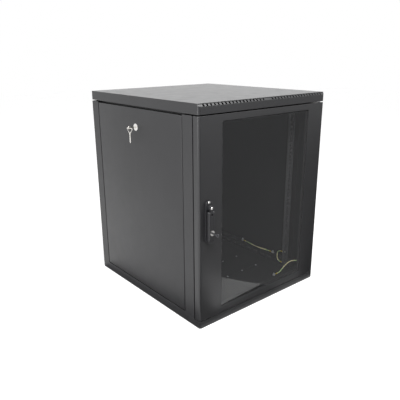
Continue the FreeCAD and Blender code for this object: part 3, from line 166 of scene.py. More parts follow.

# Boards that only gloss sees. A grey glowing board on the floor before the door is a painted
# reflection for the glass to mirror, with black felt to the right of the window. Dim glowing boards
# along the tray and before the door's left edge are painted shadow in the reflections, and black
# felt hangs upright before the rounded corner.


def matt(name, glow):
    """A matt board with no gloss, black, glowing at an even grey: painted light that only gloss
    sees.
    """
    board_surface = plain(name, (0.004, 0.004, 0.004), 0.95)
    shader = board_surface.node_tree.nodes["Principled BSDF"]
    shader.inputs["Specular IOR Level"].default_value = 0
    shader.inputs["Emission Color"].default_value = (glow, glow, glow, 1)
    shader.inputs["Emission Strength"].default_value = 1
    return board_surface


# The grey board's glow is a painted reflection of lit floor, and the dim board's glow is painted
# shadow in reflections. The black board is plain felt.
grey_reflection_glow = matt("grey_reflection_glow", 0.46)
dim_shadow_glow = matt("dim_shadow_glow", 0.16)
black_felt = matt("black_felt", 0.0)
laid, overlaid = 0.0008, 0.0012
felt_front, felt_back = -4.5, -0.335
window_right, door_y = 0.235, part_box("door_frame")[0][1]
away = (window_right - tripod_head[0]) / (door_y - tripod_head[1])
edge_far = (window_right + away * (door_y - felt_front), felt_front)
hung_y, hung_left, hung_right, hung_foot, hung_top = -0.90, -0.40, -0.08, 0.001, 1.0
gloss_boards = [
    ("painted_floor_reflection", grey_reflection_glow, laid, (
        (0.13, felt_back), (0.012, -0.556), (-0.16, -0.92), (-0.6, felt_front),
        (5.0, felt_front), (5.0, felt_back),
    )),
    ("right_felt", black_felt, overlaid, (
        (window_right, felt_back), edge_far, (5.5, felt_front), (5.5, felt_back),
    )),
    ("front_painted_shadow", dim_shadow_glow, laid, (
        (-0.32, felt_back), (0.13, felt_back), (0.09, -0.41), (-0.32, -0.38),
    )),
    ("side_painted_shadow", dim_shadow_glow, laid, (
        (-0.301, -0.36), (-0.301, 0.33), (-0.33, 0.33), (-0.40, -0.36),
    )),
    ("left_painted_shade", dim_shadow_glow, laid, (
        (-0.50, -0.41), (-0.32, -0.385), (-0.20, -0.37), (-0.04, -0.59),
        (-0.04, -0.88), (-0.50, -0.88),
    )),
]
boards = [
    studio_board(name, [(x, y, z) for x, y in corners], board_surface) for name, board_surface, z, corners in gloss_boards
]
boards.append(studio_board("standing_felt", [
    (hung_left, hung_y, hung_foot), (hung_right, hung_y, hung_foot),
    (hung_right, hung_y, hung_top), (hung_left, hung_y, hung_top),
], black_felt))
for board in boards:
    board.visible_camera = False
    board.visible_shadow = False
    board.visible_diffuse = False

# ---------------------------------------------------------------- Base tray
# The bottom of the cabinet: one folded sheet of 1.5 mm steel with a raised floor, skirts and
# foot flanges, powder coated black like all the sheet metal.


def powder_coat(name, colour, roughness, wear_and_highlight=0.15, shine=0.5):
    """Black powder coat: fine grained, a little cloudy, and lighter at its bends, partly rubbed
    wear and partly a painted edge highlight.
    """
    coat = bpy.data.materials.new(name)
    coat.use_nodes = True
    tree = coat.node_tree
    shader = tree.nodes["Principled BSDF"]
    shader.inputs["Specular IOR Level"].default_value = shine
    place = node(tree, "ShaderNodeTexCoord").outputs["Object"]

    cloud = node(tree, "ShaderNodeTexNoise", Scale=7.0, Detail=4.0, Roughness=0.55)
    joined(tree, place, cloud.inputs["Vector"])
    shade = node(tree, "ShaderNodeMapRange", From_Min=0.3, From_Max=0.7, To_Min=0.93, To_Max=1.07)
    joined(tree, cloud.outputs["Fac"], shade.inputs["Value"])
    tone = node(tree, "ShaderNodeVectorMath", {"operation": "SCALE"})
    tone.inputs[0].default_value = colour
    joined(tree, shade.outputs["Result"], tone.inputs["Scale"])

    # The bends are mixed to a lighter grey. This is partly rubbed wear and partly a painted
    # highlight along the edges.
    bend = node(tree, "ShaderNodeBevel", {"samples": 4}, Radius=0.0016)
    flat = node(tree, "ShaderNodeNewGeometry")
    turn = node(tree, "ShaderNodeVectorMath", {"operation": "DOT_PRODUCT"})
    joined(tree, bend.outputs["Normal"], turn.inputs[0])
    joined(tree, flat.outputs["Normal"], turn.inputs[1])
    rubbed_and_highlit = node(
        tree, "ShaderNodeMapRange", From_Min=0.995, From_Max=0.86, To_Min=0.0, To_Max=wear_and_highlight,
    )
    joined(tree, turn.outputs["Value"], rubbed_and_highlit.inputs["Value"])
    patch = node(tree, "ShaderNodeTexNoise", Scale=55.0, Detail=3.0)
    joined(tree, place, patch.inputs["Vector"])
    uneven = node(tree, "ShaderNodeMapRange", From_Min=0.38, From_Max=0.62, To_Min=0.25, To_Max=1.0)
    joined(tree, patch.outputs["Fac"], uneven.inputs["Value"])
    wear_and_edge_highlight = node(tree, "ShaderNodeMath", {"operation": "MULTIPLY"})
    joined(tree, rubbed_and_highlit.outputs["Result"], wear_and_edge_highlight.inputs[0])
    joined(tree, uneven.outputs["Result"], wear_and_edge_highlight.inputs[1])
    mix = node(tree, "ShaderNodeMix", {"data_type": "RGBA"})
    joined(tree, wear_and_edge_highlight.outputs[0], mix.inputs["Factor"])
    joined(tree, tone.outputs["Vector"], mix.inputs["A"])
    mix.inputs["B"].default_value = (0.16, 0.16, 0.165, 1)
    joined(tree, mix.outputs["Result"], shader.inputs["Base Color"])

    film = node(tree, "ShaderNodeTexNoise", Scale=24.0, Detail=5.0, Roughness=0.6)
    joined(tree, place, film.inputs["Vector"])
    dull = node(
        tree, "ShaderNodeMapRange",
        From_Min=0.3, From_Max=0.7, To_Min=roughness - 0.02, To_Max=roughness + 0.03,
    )
    joined(tree, film.outputs["Fac"], dull.inputs["Value"])
    joined(tree, dull.outputs["Result"], shader.inputs["Roughness"])

    grain = node(tree, "ShaderNodeTexNoise", Scale=1500.0, Detail=2.0)
    joined(tree, place, grain.inputs["Vector"])
    peel = node(tree, "ShaderNodeTexNoise", Scale=240.0, Detail=1.0)
    joined(tree, place, peel.inputs["Vector"])
    coarse = node(tree, "ShaderNodeBump", Strength=0.05, Distance=0.0003)
    joined(tree, peel.outputs["Fac"], coarse.inputs["Height"])
    joined(tree, bend.outputs["Normal"], coarse.inputs["Normal"])
    fine = node(tree, "ShaderNodeBump", Strength=0.05, Distance=0.0001)
    joined(tree, grain.outputs["Fac"], fine.inputs["Height"])
    joined(tree, coarse.outputs["Normal"], fine.inputs["Normal"])
    joined(tree, fine.outputs["Normal"], shader.inputs["Normal"])
    return coat


def dress(material, *names):
    """Gives frame nodes this finish."""
    for name in names:
        for place in nodes[name].material_slots:
            place.material = material


def soften(width, *names):
    """Rounds the bends and cut edges of folded sheets."""
    for name in names:
        piece = nodes[name]
        weld = piece.modifiers.new("joined", "WELD")
        weld.merge_threshold = 0.00001
        plane = piece.modifiers.new("plane", "DECIMATE")
        plane.decimate_type = "DISSOLVE"
        plane.angle_limit = math.radians(0.5)
        edge = piece.modifiers.new("edge", "BEVEL")
        edge.width = width
        edge.segments = 2
        edge.limit_method = "ANGLE"
        edge.angle_limit = math.radians(40)
        piece.modifiers.new("shading", "WEIGHTED_NORMAL")


sheet_edge = 0.0006
frame_coat = powder_coat("frame_coat", (0.020, 0.020, 0.0215), 0.42, shine=0.41)
dress(frame_coat, "base_tray")
soften(sheet_edge, "base_tray")

# ---------------------------------------------------------------- Floor entry cover
# A flat plate of the same steel over the cable entry in the tray's floor, held at its edge by
# button-head screws with bright zinc plating.


def zinc_plate(name, colour=(0.60, 0.61, 0.63), roughness=0.30):
    """Bright zinc on steel, with its faint spangle and handling marks."""
    plate = bpy.data.materials.new(name)
    plate.use_nodes = True
    tree = plate.node_tree
    shader = tree.nodes["Principled BSDF"]
    shader.inputs["Metallic"].default_value = 1.0
    place = node(tree, "ShaderNodeTexCoord").outputs["Object"]
    spangle = node(tree, "ShaderNodeTexVoronoi", Scale=420.0)
    joined(tree, place, spangle.inputs["Vector"])
    shade = node(tree, "ShaderNodeMapRange", To_Min=0.82, To_Max=1.12)
    joined(tree, spangle.outputs["Distance"], shade.inputs["Value"])
    tone = node(tree, "ShaderNodeVectorMath", {"operation": "SCALE"})
    tone.inputs[0].default_value = colour
    joined(tree, shade.outputs["Result"], tone.inputs["Scale"])
    joined(tree, tone.outputs["Vector"], shader.inputs["Base Color"])
    smear = node(tree, "ShaderNodeTexNoise", Scale=160.0, Detail=4.0)
    joined(tree, place, smear.inputs["Vector"])
    dull = node(tree, "ShaderNodeMapRange", To_Min=roughness - 0.08, To_Max=roughness + 0.16)
    joined(tree, smear.outputs["Fac"], dull.inputs["Value"])
    joined(tree, dull.outputs["Result"], shader.inputs["Roughness"])
    mark = node(tree, "ShaderNodeBump", Strength=0.25, Distance=0.00005)
    joined(tree, smear.outputs["Fac"], mark.inputs["Height"])
    joined(tree, mark.outputs["Normal"], shader.inputs["Normal"])
    return plate


def frame_at(foot, way, quarter=0.0):
    """The turn and shift that stand a piece drawn upright on foot, pointing along way."""
    stand = Vector((0, 0, 1)).rotation_difference(Vector(way)).to_matrix().to_4x4()
    return Matrix.Translation(foot) @ stand @ Matrix.Rotation(quarter, 4, "Z")


def ring_of(reach, height, sides, flats=0):
    """A ring of points: round, or with straight flats where flats gives their number."""
    points = []
    for k in range(sides):
        turn = 2 * math.pi * k / sides
        r = reach
        if flats:
            part = turn % (2 * math.pi / flats) - math.pi / flats
            r = reach / math.cos(part)
        points.append(Vector((r * math.cos(turn), r * math.sin(turn), height)))
    return points


def skinned(mesh, stand, rings, closed=False):
    """Joins rings of points into a skin; a ring of one point closes an end."""
    rows = [[mesh.verts.new(stand @ point) for point in points] for points in rings]
    pairs = list(zip(rows, rows[1:]))
    if closed:
        pairs.append((rows[-1], rows[0]))
    sides = max(len(row) for row in rows)
    for low, high in pairs:
        for k in range(sides):
            n = (k + 1) % sides
            corners = [low[k % len(low)], low[n % len(low)]]
            corners += [high[n % len(high)], high[k % len(high)]]
            corners = list(dict.fromkeys(corners))
            if len(corners) > 2:
                mesh.faces.new(corners)


def turned(mesh, stand, profile, sides=32, closed=False):
    """A turned piece from (radius, height) pairs; radius 0 closes an end."""
    rings = []
    for radius, height in profile:
        rings.append([Vector((0, 0, height))] if radius == 0 else ring_of(radius, height, sides))
    skinned(mesh, stand, rings, closed)


def finished(name, mesh, material, body, smooth=35):
    """Makes the mesh a piece with its finish, riding on its body."""
    bmesh.ops.recalc_face_normals(mesh, faces=mesh.faces)
    data = bpy.data.meshes.new(name)
    mesh.to_mesh(data)
    mesh.free()
    data.shade_smooth()
    data.set_sharp_from_angle(angle=math.radians(smooth))
    data.materials.append(material)
    piece = bpy.data.objects.new(name, data)
    scene.collection.objects.link(piece)
    if body:
        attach(piece, body)
    return piece


def button_screw(mesh, foot, way, r, quarter=0.0):
    """A button-head screw with a hexagon socket, standing on foot."""
    stand = frame_at(foot, way, quarter)
    tall = r * 0.55
    socket = r * 0.40
    dome = ((0.9, 0), (1, 0.12), (0.93, 0.5), (0.76, 0.85), (0.52, 1))
    rings = [[Vector((0, 0, 0))]] + [ring_of(r * part, tall * rise, 24) for part, rise in dome]
    rings += [ring_of(socket, tall, 24, 6), ring_of(socket, tall * 0.35, 24, 6)]
    skinned(mesh, stand, rings + [[Vector((0, 0, tall * 0.25))]])


dress(frame_coat, "floor_entry_cover")
soften(sheet_edge, "floor_entry_cover")
zinc = zinc_plate("zinc")
low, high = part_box("floor_entry_cover")
screw_inset, screw_r = 0.0042, 0.0036
screws_a_side = 5
mesh = bmesh.new()
for k in range(screws_a_side):
    x = low[0] + screw_inset + (high[0] - low[0] - screw_inset * 2) * k / (screws_a_side - 1)
    for y in (low[1] + screw_inset, high[1] - screw_inset):
        button_screw(mesh, (x, y, high[2]), (0, 0, 1), screw_r, 0.4 * k)
finished("entry_cover_screws", mesh, zinc, "cabinet")

# ---------------------------------------------------------------- Posts, sill and lintel
# Four folded corner posts joined at the front by a sill and a lintel and at the sides by top
# rails, all welded and powder coated with the tray.

cross_members = ("left_top_rail", "right_top_rail", "front_lintel", "front_sill")
dress(frame_coat, "left_front_post", "right_front_post", "left_rear_post", "right_rear_post")
dress(frame_coat, *cross_members)
soften(sheet_edge, "left_rear_post", "right_rear_post", *cross_members)

# ---------------------------------------------------------------- Rear panel and wall rails
# The back sheet is folded in at its edges and spot welded to the posts. Two channels behind
# the wall bolts spread their load.

dress(frame_coat, "rear_panel", "wall_rails")
soften(sheet_edge, "rear_panel", "wall_rails")


def spot_welds(mesh, places, way, r=0.0028):
    """Shallow dimples with a raised rim where two sheets are spot welded."""
    for place in places:
        turned(mesh, frame_at(place, way), [
            (0, 0.00012), (r * 0.55, 0.00008), (r * 0.8, 0.0003), (r, 0.00022), (r * 1.12, 0.0),
        ], 20)


low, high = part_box("wall_rails")
outer_row, inner_row, row_end, welds_a_row, rail_sheet = 0.012, 0.038, 0.055, 6, 0.002
weld_places = []
for z in (low[2] + outer_row, low[2] + inner_row, high[2] - inner_row, high[2] - outer_row):
    for k in range(welds_a_row):
        x = low[0] + row_end + (high[0] - low[0] - row_end * 2) * k / (welds_a_row - 1)
        weld_places.append((x, high[1] - rail_sheet, z))
mesh = bmesh.new()
spot_welds(mesh, weld_places, (0, -1, 0))
finished("wall_rail_welds", mesh, frame_coat, "cabinet")

# ---------------------------------------------------------------- Depth rails and rack rails
# Slotted channels run from front to back; the two rack rails, 2 mm steel with the standard
# square holes, are bolted to them with M6 hexagon bolts and washers.

rail_coat = powder_coat("rail_coat", (0.10, 0.10, 0.104), 0.36)
dress(frame_coat, "left_depth_rails", "right_depth_rails")
dress(rail_coat, "left_rack_rail", "right_rack_rail")
soften(sheet_edge, "left_depth_rails", "right_depth_rails")
soften(0.0003, "left_rack_rail", "right_rack_rail")


def hexed(mesh, stand, across, low, high, bore=0.0):
    """A hexagon head or nut with its corners turned off, open for a bore if it has one."""
    face = across / 2
    cut = across * 0.06
    rings = [ring_of(face * 0.96, low, 36), ring_of(face, low + cut, 36, 6)]
    rings += [ring_of(face, high - cut, 36, 6), ring_of(face * 0.95, high, 36)]
    if bore:
        rings += [ring_of(bore * 1.12, high, 36), ring_of(bore, high - cut, 36)]
        rings += [ring_of(bore, low + cut, 36), ring_of(bore * 1.12, low, 36)]
        skinned(mesh, stand, rings, closed=True)
    else:
        skinned(mesh, stand, [[Vector((0, 0, low))]] + rings + [[Vector((0, 0, high))]])


def threaded(mesh, stand, r, low, high, pitch=0.001):
    """The end of a threaded shank: grooved, with its tip turned to a cone."""
    profile = [(0, low)]
    count = int((high - low) / pitch)
    for k in range(count):
        z = low + k * pitch
        profile += [(r, z + pitch * 0.1), (r * 0.86, z + pitch * 0.6)]
    profile += [(r * 0.8, high), (0, high)]
    turned(mesh, stand, profile, 20)


# One low bolt clamps a lead's ring as well, so its head stands off by the ring's sheet.

bolt_y, low_bolt_z, high_bolt_z = -0.220, 0.040, 0.6925
leg_in, leg_out, ring_sheet = 0.248, 0.2515, 0.0012
across_flats, head_top, nut_bore = 0.0100, 0.0040, 0.0030
washer_bore, washer_r, washer_top = 0.0031, 0.0056, 0.0006
washer = [(washer_bore, 0), (washer_r, 0), (washer_r, washer_top), (washer_bore, washer_top)]
thread_r, thread_start, bolt_end = 0.0029, 0.0002, 0.0060
mesh = bmesh.new()
for side in (-1, 1):
    for z in (low_bolt_z, high_bolt_z):
        packing = ring_sheet if side > 0 and z == low_bolt_z else 0
        head = frame_at((side * (leg_in - packing), bolt_y, z), (-side, 0, 0), 0.3 * z)
        turned(mesh, head, washer, 32, closed=True)
        hexed(mesh, head, across_flats, washer_top, head_top)
        outer = frame_at((side * leg_out, bolt_y, z), (side, 0, 0), 0.5)
        hexed(mesh, outer, across_flats, 0, head_top, nut_bore)
        threaded(mesh, outer, thread_r, thread_start, bolt_end)
bolts = finished("rail_bolts", mesh, zinc, "cabinet")
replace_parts(bolts, "rack_rail_bolts")

# ---------------------------------------------------------------- Roof
# One folded sheet with rounded front corners; its front edge is bevelled and slotted to let
# warm air out, and its skirts stand a few millimetres above the door and side panels.

roof_coat = powder_coat("roof_coat", (0.020, 0.020, 0.0215), 0.34, shine=0.43)
dress(roof_coat, "roof_cover")

# ---------------------------------------------------------------- Side panels
# Two lift-off sheets folded to shallow pans. Tabs along their bottom edges stand in the
# tray, and a quarter-turn lock near the top holds each one.

panel_coat = powder_coat("panel_coat", (0.020, 0.020, 0.0215), 0.40, shine=0.39)
panel_gap, foot_gap, foot_lap = 0.0026, 0.0020, 0.008
sheet, bend_r, lip = 0.0015, 0.0020, 0.010
tab_half, tab_spread, tab_drop = 0.015, 0.180, 0.0075


def slab(mesh, low, high, edge=0.0003):
    """A flat sheet piece between two corners, with its edges broken."""
    rows = []
    for z, inset in ((low[2], edge), (low[2] + edge, 0), (high[2] - edge, 0), (high[2], edge)):
        x0, x1, y0, y1 = low[0] + inset, high[0] - inset, low[1] + inset, high[1] - inset
        rows.append([Vector((x, y, z)) for x, y in ((x0, y0), (x1, y0), (x1, y1), (x0, y1))])
    ends = [[sum(rows[0], Vector()) / 4], [sum(rows[-1], Vector()) / 4]]
    skinned(mesh, Matrix.Identity(4), ends[:1] + rows + ends[1:])


def pan_side(name):
    """A side panel: its face, bent edges, walls and turned-in lips in one skin."""
    low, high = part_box(name)
    side = -1 if low[0] < 0 else 1
    face = low[0] if side < 0 else high[0]
    depth = high[0] - low[0]
    y0, y1 = low[1] + panel_gap, high[1] - panel_gap
    z0, z1 = low[2] + foot_lap + foot_gap, high[2] - panel_gap
    profile = []
    for k in range(5):
        turn = math.pi / 8 * k
        profile.append((bend_r * (1 - math.sin(turn)), bend_r * (1 - math.cos(turn))))
    profile += [(0, depth - sheet * 0.7), (sheet * 0.3, depth - sheet * 0.2), (sheet * 0.8, depth)]
    profile += [(lip, depth), (lip, depth - sheet), (sheet, depth - sheet), (sheet, sheet)]
    rings = []
    for inset, back in profile:
        x = face - side * back
        a, b, c, d = y0 + inset, y1 - inset, z0 + inset, z1 - inset
        rings.append([Vector((x, a, c)), Vector((x, b, c)), Vector((x, b, d)), Vector((x, a, d))])
    front = [Vector((face, (y0 + y1) / 2, (z0 + z1) / 2))]
    back = [Vector((face - side * sheet, (y0 + y1) / 2, (z0 + z1) / 2))]
    mesh = bmesh.new()
    skinned(mesh, Matrix.Identity(4), [front] + rings + [back])
    middle = (low[1] + high[1]) / 2
    for y in (middle - tab_spread, middle + tab_spread):
        x0, x1 = sorted((face - side * sheet * 3, face - side * sheet * 4))
        tab_foot = z0 + sheet - tab_drop - foot_gap
        slab(mesh, (x0, y - tab_half, tab_foot), (x1, y + tab_half, z0 + sheet))
    return mesh


for name, body in (("left_side_panel", "left_panel"), ("right_side_panel", "right_panel")):
    panel = finished(name + "_sheet", pan_side(name), panel_coat, body, 50)
    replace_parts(panel, name)

# ---------------------------------------------------------------- Side locks
# Nickel-plated cam locks: a round flanged housing with a nut behind the panel, a plug that
# turns with the key, and a zinc-plated cam with its screw.


def nickel_plate(name, colour=(0.80, 0.79, 0.77), roughness=0.10):
    """Bright nickel with a little haze, fine turning lines and hairline scratches."""
    plate = bpy.data.materials.new(name)
    plate.use_nodes = True
    tree = plate.node_tree
    shader = tree.nodes["Principled BSDF"]
    shader.inputs["Metallic"].default_value = 1.0
    place = node(tree, "ShaderNodeTexCoord").outputs["Object"]
    haze = node(tree, "ShaderNodeTexNoise", Scale=130.0, Detail=4.0, Roughness=0.6)
    joined(tree, place, haze.inputs["Vector"])
    tone = node(tree, "ShaderNodeMix", {"data_type": "RGBA"})
    joined(tree, haze.outputs["Fac"], tone.inputs["Factor"])
    tone.inputs["A"].default_value = (*(c * 0.9 for c in colour), 1)
    tone.inputs["B"].default_value = (*(min(1, c * 1.08) for c in colour), 1)
    joined(tree, tone.outputs["Result"], shader.inputs["Base Color"])
    dull = node(tree, "ShaderNodeMapRange", To_Min=roughness * 0.6, To_Max=roughness * 1.7)
    joined(tree, haze.outputs["Fac"], dull.inputs["Value"])
    joined(tree, dull.outputs["Result"], shader.inputs["Roughness"])
    scratch = node(tree, "ShaderNodeTexNoise", Scale=900.0, Detail=3.0)
    stretch = node(tree, "ShaderNodeMapping")
    stretch.inputs["Scale"].default_value = (1.0, 0.15, 1.0)
    joined(tree, place, stretch.inputs["Vector"])
    joined(tree, stretch.outputs["Vector"], scratch.inputs["Vector"])
    line = node(tree, "ShaderNodeBump", Strength=0.08, Distance=0.00005)
    joined(tree, scratch.outputs["Fac"], line.inputs["Height"])
    joined(tree, line.outputs["Normal"], shader.inputs["Normal"])
    return plate


nickel = nickel_plate("nickel")
dress(nickel, "left_lock_housing", "right_lock_housing", "left_lock_plug", "right_lock_plug")
dress(zinc, "left_lock_cam", "right_lock_cam")

# ---------------------------------------------------------------- Side keys
# One flat key stands in the left panel's lock, and the second, with a hollow triangular bow,
# hangs from the first one's hole.

key_steel = nickel_plate("key_steel", (0.82, 0.80, 0.76), 0.16)
dress(key_steel, "side_key", "spare_key")
soften(0.0003, "side_key", "spare_key")

# ---------------------------------------------------------------- Door leaf
# A folded steel leaf with rounded vertical edges and a return round its glass, coated like
# the cabinet.

door_coat = powder_coat("door_coat", (0.020, 0.020, 0.0215), 0.32)
dress(door_coat, "door_frame")
soften(sheet_edge, "door_frame")

# ---------------------------------------------------------------- Door glass
# A 4 mm pane of smoked tempered glass, set level with the door in its window on a black
# strip, which grips the pane's edge and the window's return.


def tinted(name, alpha):
    """Dark glass that lets some light through, with no gloss of its own."""
    glass = bpy.data.materials.new(name)
    glass.use_nodes = True
    shader = glass.node_tree.nodes["Principled BSDF"]
    shader.inputs["Base Color"].default_value = (0.012, 0.013, 0.015, 1)
    shader.inputs["Specular IOR Level"].default_value = 0
    shader.inputs["Alpha"].default_value = alpha
    return glass


smoked_glass = tinted("smoked_glass", 0.34)
tree = smoked_glass.node_tree
shader = tree.nodes["Principled BSDF"]
shader.inputs["Coat Weight"].default_value = 1
shader.inputs["Coat IOR"].default_value = 2.3
shader.inputs["Coat Roughness"].default_value = 0.035
place = node(tree, "ShaderNodeTexCoord").outputs["Object"]
wipe = node(tree, "ShaderNodeTexNoise", Scale=9.0, Detail=4.0)
joined(tree, place, wipe.inputs["Vector"])
film = node(tree, "ShaderNodeMapRange", From_Min=0.35, From_Max=0.7, To_Min=0.02, To_Max=0.07)
joined(tree, wipe.outputs["Fac"], film.inputs["Value"])
joined(tree, film.outputs["Result"], shader.inputs["Roughness"])
clear_back = tinted("clear_back", 0.03)


def rounded_rim(low, high, r, y, segments=5):
    """The points round an upright rectangle with rounded corners, at one depth."""
    x0, x1, z0, z1 = low[0] + r, high[0] - r, low[1] + r, high[1] - r
    points = []
    for k, (cx, cz) in enumerate(((x1, z1), (x0, z1), (x0, z0), (x1, z0))):
        for n in range(segments + 1):
            turn = math.pi / 2 * (k + n / segments)
            points.append(Vector((cx + r * math.cos(turn), y, cz + r * math.sin(turn))))
    return points


def rim_rings(low, high, r, steps):
    """Rims stepping in from a rectangle, as (inset, depth) pairs."""
    rings = []
    for inset, y in steps:
        foot = (low[0] + inset, low[1] + inset)
        head = (high[0] - inset, high[1] - inset)
        rings.append(rounded_rim(foot, head, r - inset, y))
    return rings


low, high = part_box("glass_seal")
lap, opening_r = 0.011, 0.003
hole = ((low[0] + lap, low[2] + lap), (high[0] - lap, high[2] - lap))
strip_in, strip_out = 0.0018, 0.0002
set_back, glass_thick, arris = 0.0010, 0.004, 0.0004
glass_front = door_y + set_back
glass_back = glass_front + glass_thick
edge_rings = rim_rings(*hole, opening_r, [
    (strip_in + arris, glass_front), (strip_in, glass_front + arris),
    (strip_in, glass_back - arris), (strip_in + arris, glass_back),
])
middle_x, middle_z = (hole[0][0] + hole[1][0]) / 2, (hole[0][1] + hole[1][1]) / 2
mesh = bmesh.new()
caps = [[Vector((middle_x, y, middle_z))] for y in (glass_front, glass_back)]
skinned(mesh, Matrix.Identity(4), caps[:1] + edge_rings + caps[1:])
pane = finished("smoked_pane", mesh, smoked_glass, "door", 20)
pane.data.materials.append(clear_back)
hair = 0.00001
for face in pane.data.polygons:
    if face.center.y > glass_back - hair:
        face.material_index = 1
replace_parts(pane, "glass_pane")


def black_rubber(name, colour, grain, depth):
    """Matt black rubber or foam with its pores."""
    rubber = bpy.data.materials.new(name)
    rubber.use_nodes = True
    tree = rubber.node_tree
    shader = tree.nodes["Principled BSDF"]
    shader.inputs["Roughness"].default_value = 0.85
    place = node(tree, "ShaderNodeTexCoord").outputs["Object"]
    pores = node(tree, "ShaderNodeTexVoronoi", Scale=grain)
    joined(tree, place, pores.inputs["Vector"])
    shade = node(tree, "ShaderNodeMapRange", To_Min=0.7, To_Max=1.25)
    joined(tree, pores.outputs["Distance"], shade.inputs["Value"])
    tone = node(tree, "ShaderNodeVectorMath", {"operation": "SCALE"})
    tone.inputs[0].default_value = colour
    joined(tree, shade.outputs["Result"], tone.inputs["Scale"])
    joined(tree, tone.outputs["Vector"], shader.inputs["Base Color"])
    pit = node(tree, "ShaderNodeBump", Strength=0.6, Distance=depth)
    joined(tree, pores.outputs["Distance"], pit.inputs["Height"])
    joined(tree, pit.outputs["Normal"], shader.inputs["Normal"])
    return rubber


bonding = black_rubber("bonding_strip", (0.012, 0.012, 0.013), 900.0, 0.0001)
ledge, strip_back = 0.004, glass_back + 0.0030
channel = rim_rings(*hole, opening_r, [
    (strip_out, glass_front + 0.0004), (strip_in * 0.4, glass_front - 0.0002),
    (strip_in, glass_front + 0.0002), (strip_in, glass_back + 0.0006),
    (strip_in + ledge, glass_back + 0.0008), (strip_in + ledge, glass_back + 0.0022),
    (strip_out, strip_back),
])
mesh = bmesh.new()
skinned(mesh, Matrix.Identity(4), channel, closed=True)
strip = finished("glazing_strip", mesh, bonding, "door")
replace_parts(strip, "glass_seal")

# Six small steel clips behind the strip hold the pane in.

clip_half, clip_sheet, clip_hold, clip_slack = 0.015, 0.0012, 0.006, 0.0004
mesh = bmesh.new()
for part in (1 / 5, 1 / 2, 4 / 5):
    z = hole[0][1] + (hole[1][1] - hole[0][1]) * part
    for edge, way in ((hole[0][0], 1), (hole[1][0], -1)):
        a, b = sorted((edge + way * clip_slack, edge + way * clip_hold))
        slab(mesh, (a, strip_back, z - clip_half), (b, strip_back + clip_sheet, z + clip_half))
clips = finished("pane_clips", mesh, door_coat, "door")
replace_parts(clips, "glass_clips")

# ---------------------------------------------------------------- Door foam seal
# A strip of self-adhesive black foam on the door's back lips, which closes on the frame and
# keeps dust out.

foam = black_rubber("door_foam", (0.028, 0.028, 0.029), 1400.0, 0.0003)
dress(foam, "door_seal")
soften(0.0012, "door_seal")

# ---------------------------------------------------------------- Swing handle
# A die-cast plate on the door with a lever that lifts out of it and then turns the latch. A
# key lock near the lever's foot works a small bolt that holds it down.

casting = powder_coat("casting", (0.018, 0.018, 0.020), 0.30, 0.35)
dress(casting, "handle_plate", "handle_lever", "handle_rotor", "pivot_pin")
soften(0.0005, "handle_plate", "handle_lever")
dress(nickel, "handle_screw", "handle_lock_ring", "handle_lock_plug")
dress(zinc, "lock_bolt", "latch_cam", "latch_nut")
soften(0.0004, "lock_bolt", "latch_cam")
dark_key = zinc_plate("dark_key", (0.07, 0.07, 0.075), 0.34)
dress(dark_key, "handle_key")
soften(0.0003, "handle_key")

# A bright domed cap is pressed in the rotor's face.

rotor_x, rotor_z, rotor_front = -0.264, 0.425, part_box("handle_rotor")[0][1]
cap_r, cap_foot, sunk_in = 0.0052, 0.0022, 0.0002
dome = [(0, -0.0022), (0.35, -0.0020), (0.65, -0.0013), (0.88, -0.0002), (1, 0.0012), (1, cap_foot)]
mesh = bmesh.new()
turned(
    mesh, frame_at((rotor_x, rotor_front + sunk_in, rotor_z), (0, 1, 0)),
    [(cap_r * part, depth) for part, depth in dome] + [(0, cap_foot)], 32,
)
finished("rotor_cap", mesh, nickel, "handle_rotor")

# ---------------------------------------------------------------- Hinges
# A fixed pin below and a sprung bolt above, each through folded brackets inside the door; a
# nylon washer carries the door on the tray's pin.

dress(zinc, "hinge_brackets", "bottom_hinge_pin", "top_hinge_bolt")
soften(0.0004, "hinge_brackets")
nylon = bpy.data.materials.new("nylon")
nylon.use_nodes = True
tree = nylon.node_tree
shader = tree.nodes["Principled BSDF"]
shader.inputs["Roughness"].default_value = 0.45
shader.inputs["Subsurface Weight"].default_value = 0.25
shader.inputs["Subsurface Scale"].default_value = 0.002
place = node(tree, "ShaderNodeTexCoord").outputs["Object"]
stain = node(tree, "ShaderNodeTexNoise", Scale=300.0, Detail=3.0)
joined(tree, place, stain.inputs["Vector"])
tone = node(tree, "ShaderNodeMix", {"data_type": "RGBA"})
tone.inputs["A"].default_value = (0.78, 0.75, 0.67, 1)
tone.inputs["B"].default_value = (0.88, 0.86, 0.80, 1)
joined(tree, stain.outputs["Fac"], tone.inputs["Factor"])
joined(tree, tone.outputs["Result"], shader.inputs["Base Color"])
dress(nylon, "hinge_washer")

# The spring under the bolt's collar: 1.4 mm wire, wound with closed ends.


def tube(mesh, path, r, sides, up=Vector((0, 0, 1))):
    """A round tube along path, closed at its ends."""
    side = up
    rings = []
    for k, middle in enumerate(path):
        ahead = (path[min(k + 1, len(path) - 1)] - path[max(k - 1, 0)]).normalized()
        side = (side - ahead * side.dot(ahead)).normalized()
        other = ahead.cross(side)
        ring = []
        for n in range(sides):
            turn = 2 * math.pi * n / sides
            ring.append(middle + side * (r * math.cos(turn)) + other * (r * math.sin(turn)))
        rings.append(ring)
    skinned(mesh, Matrix.Identity(4), [[path[0]]] + rings + [[path[-1]]])


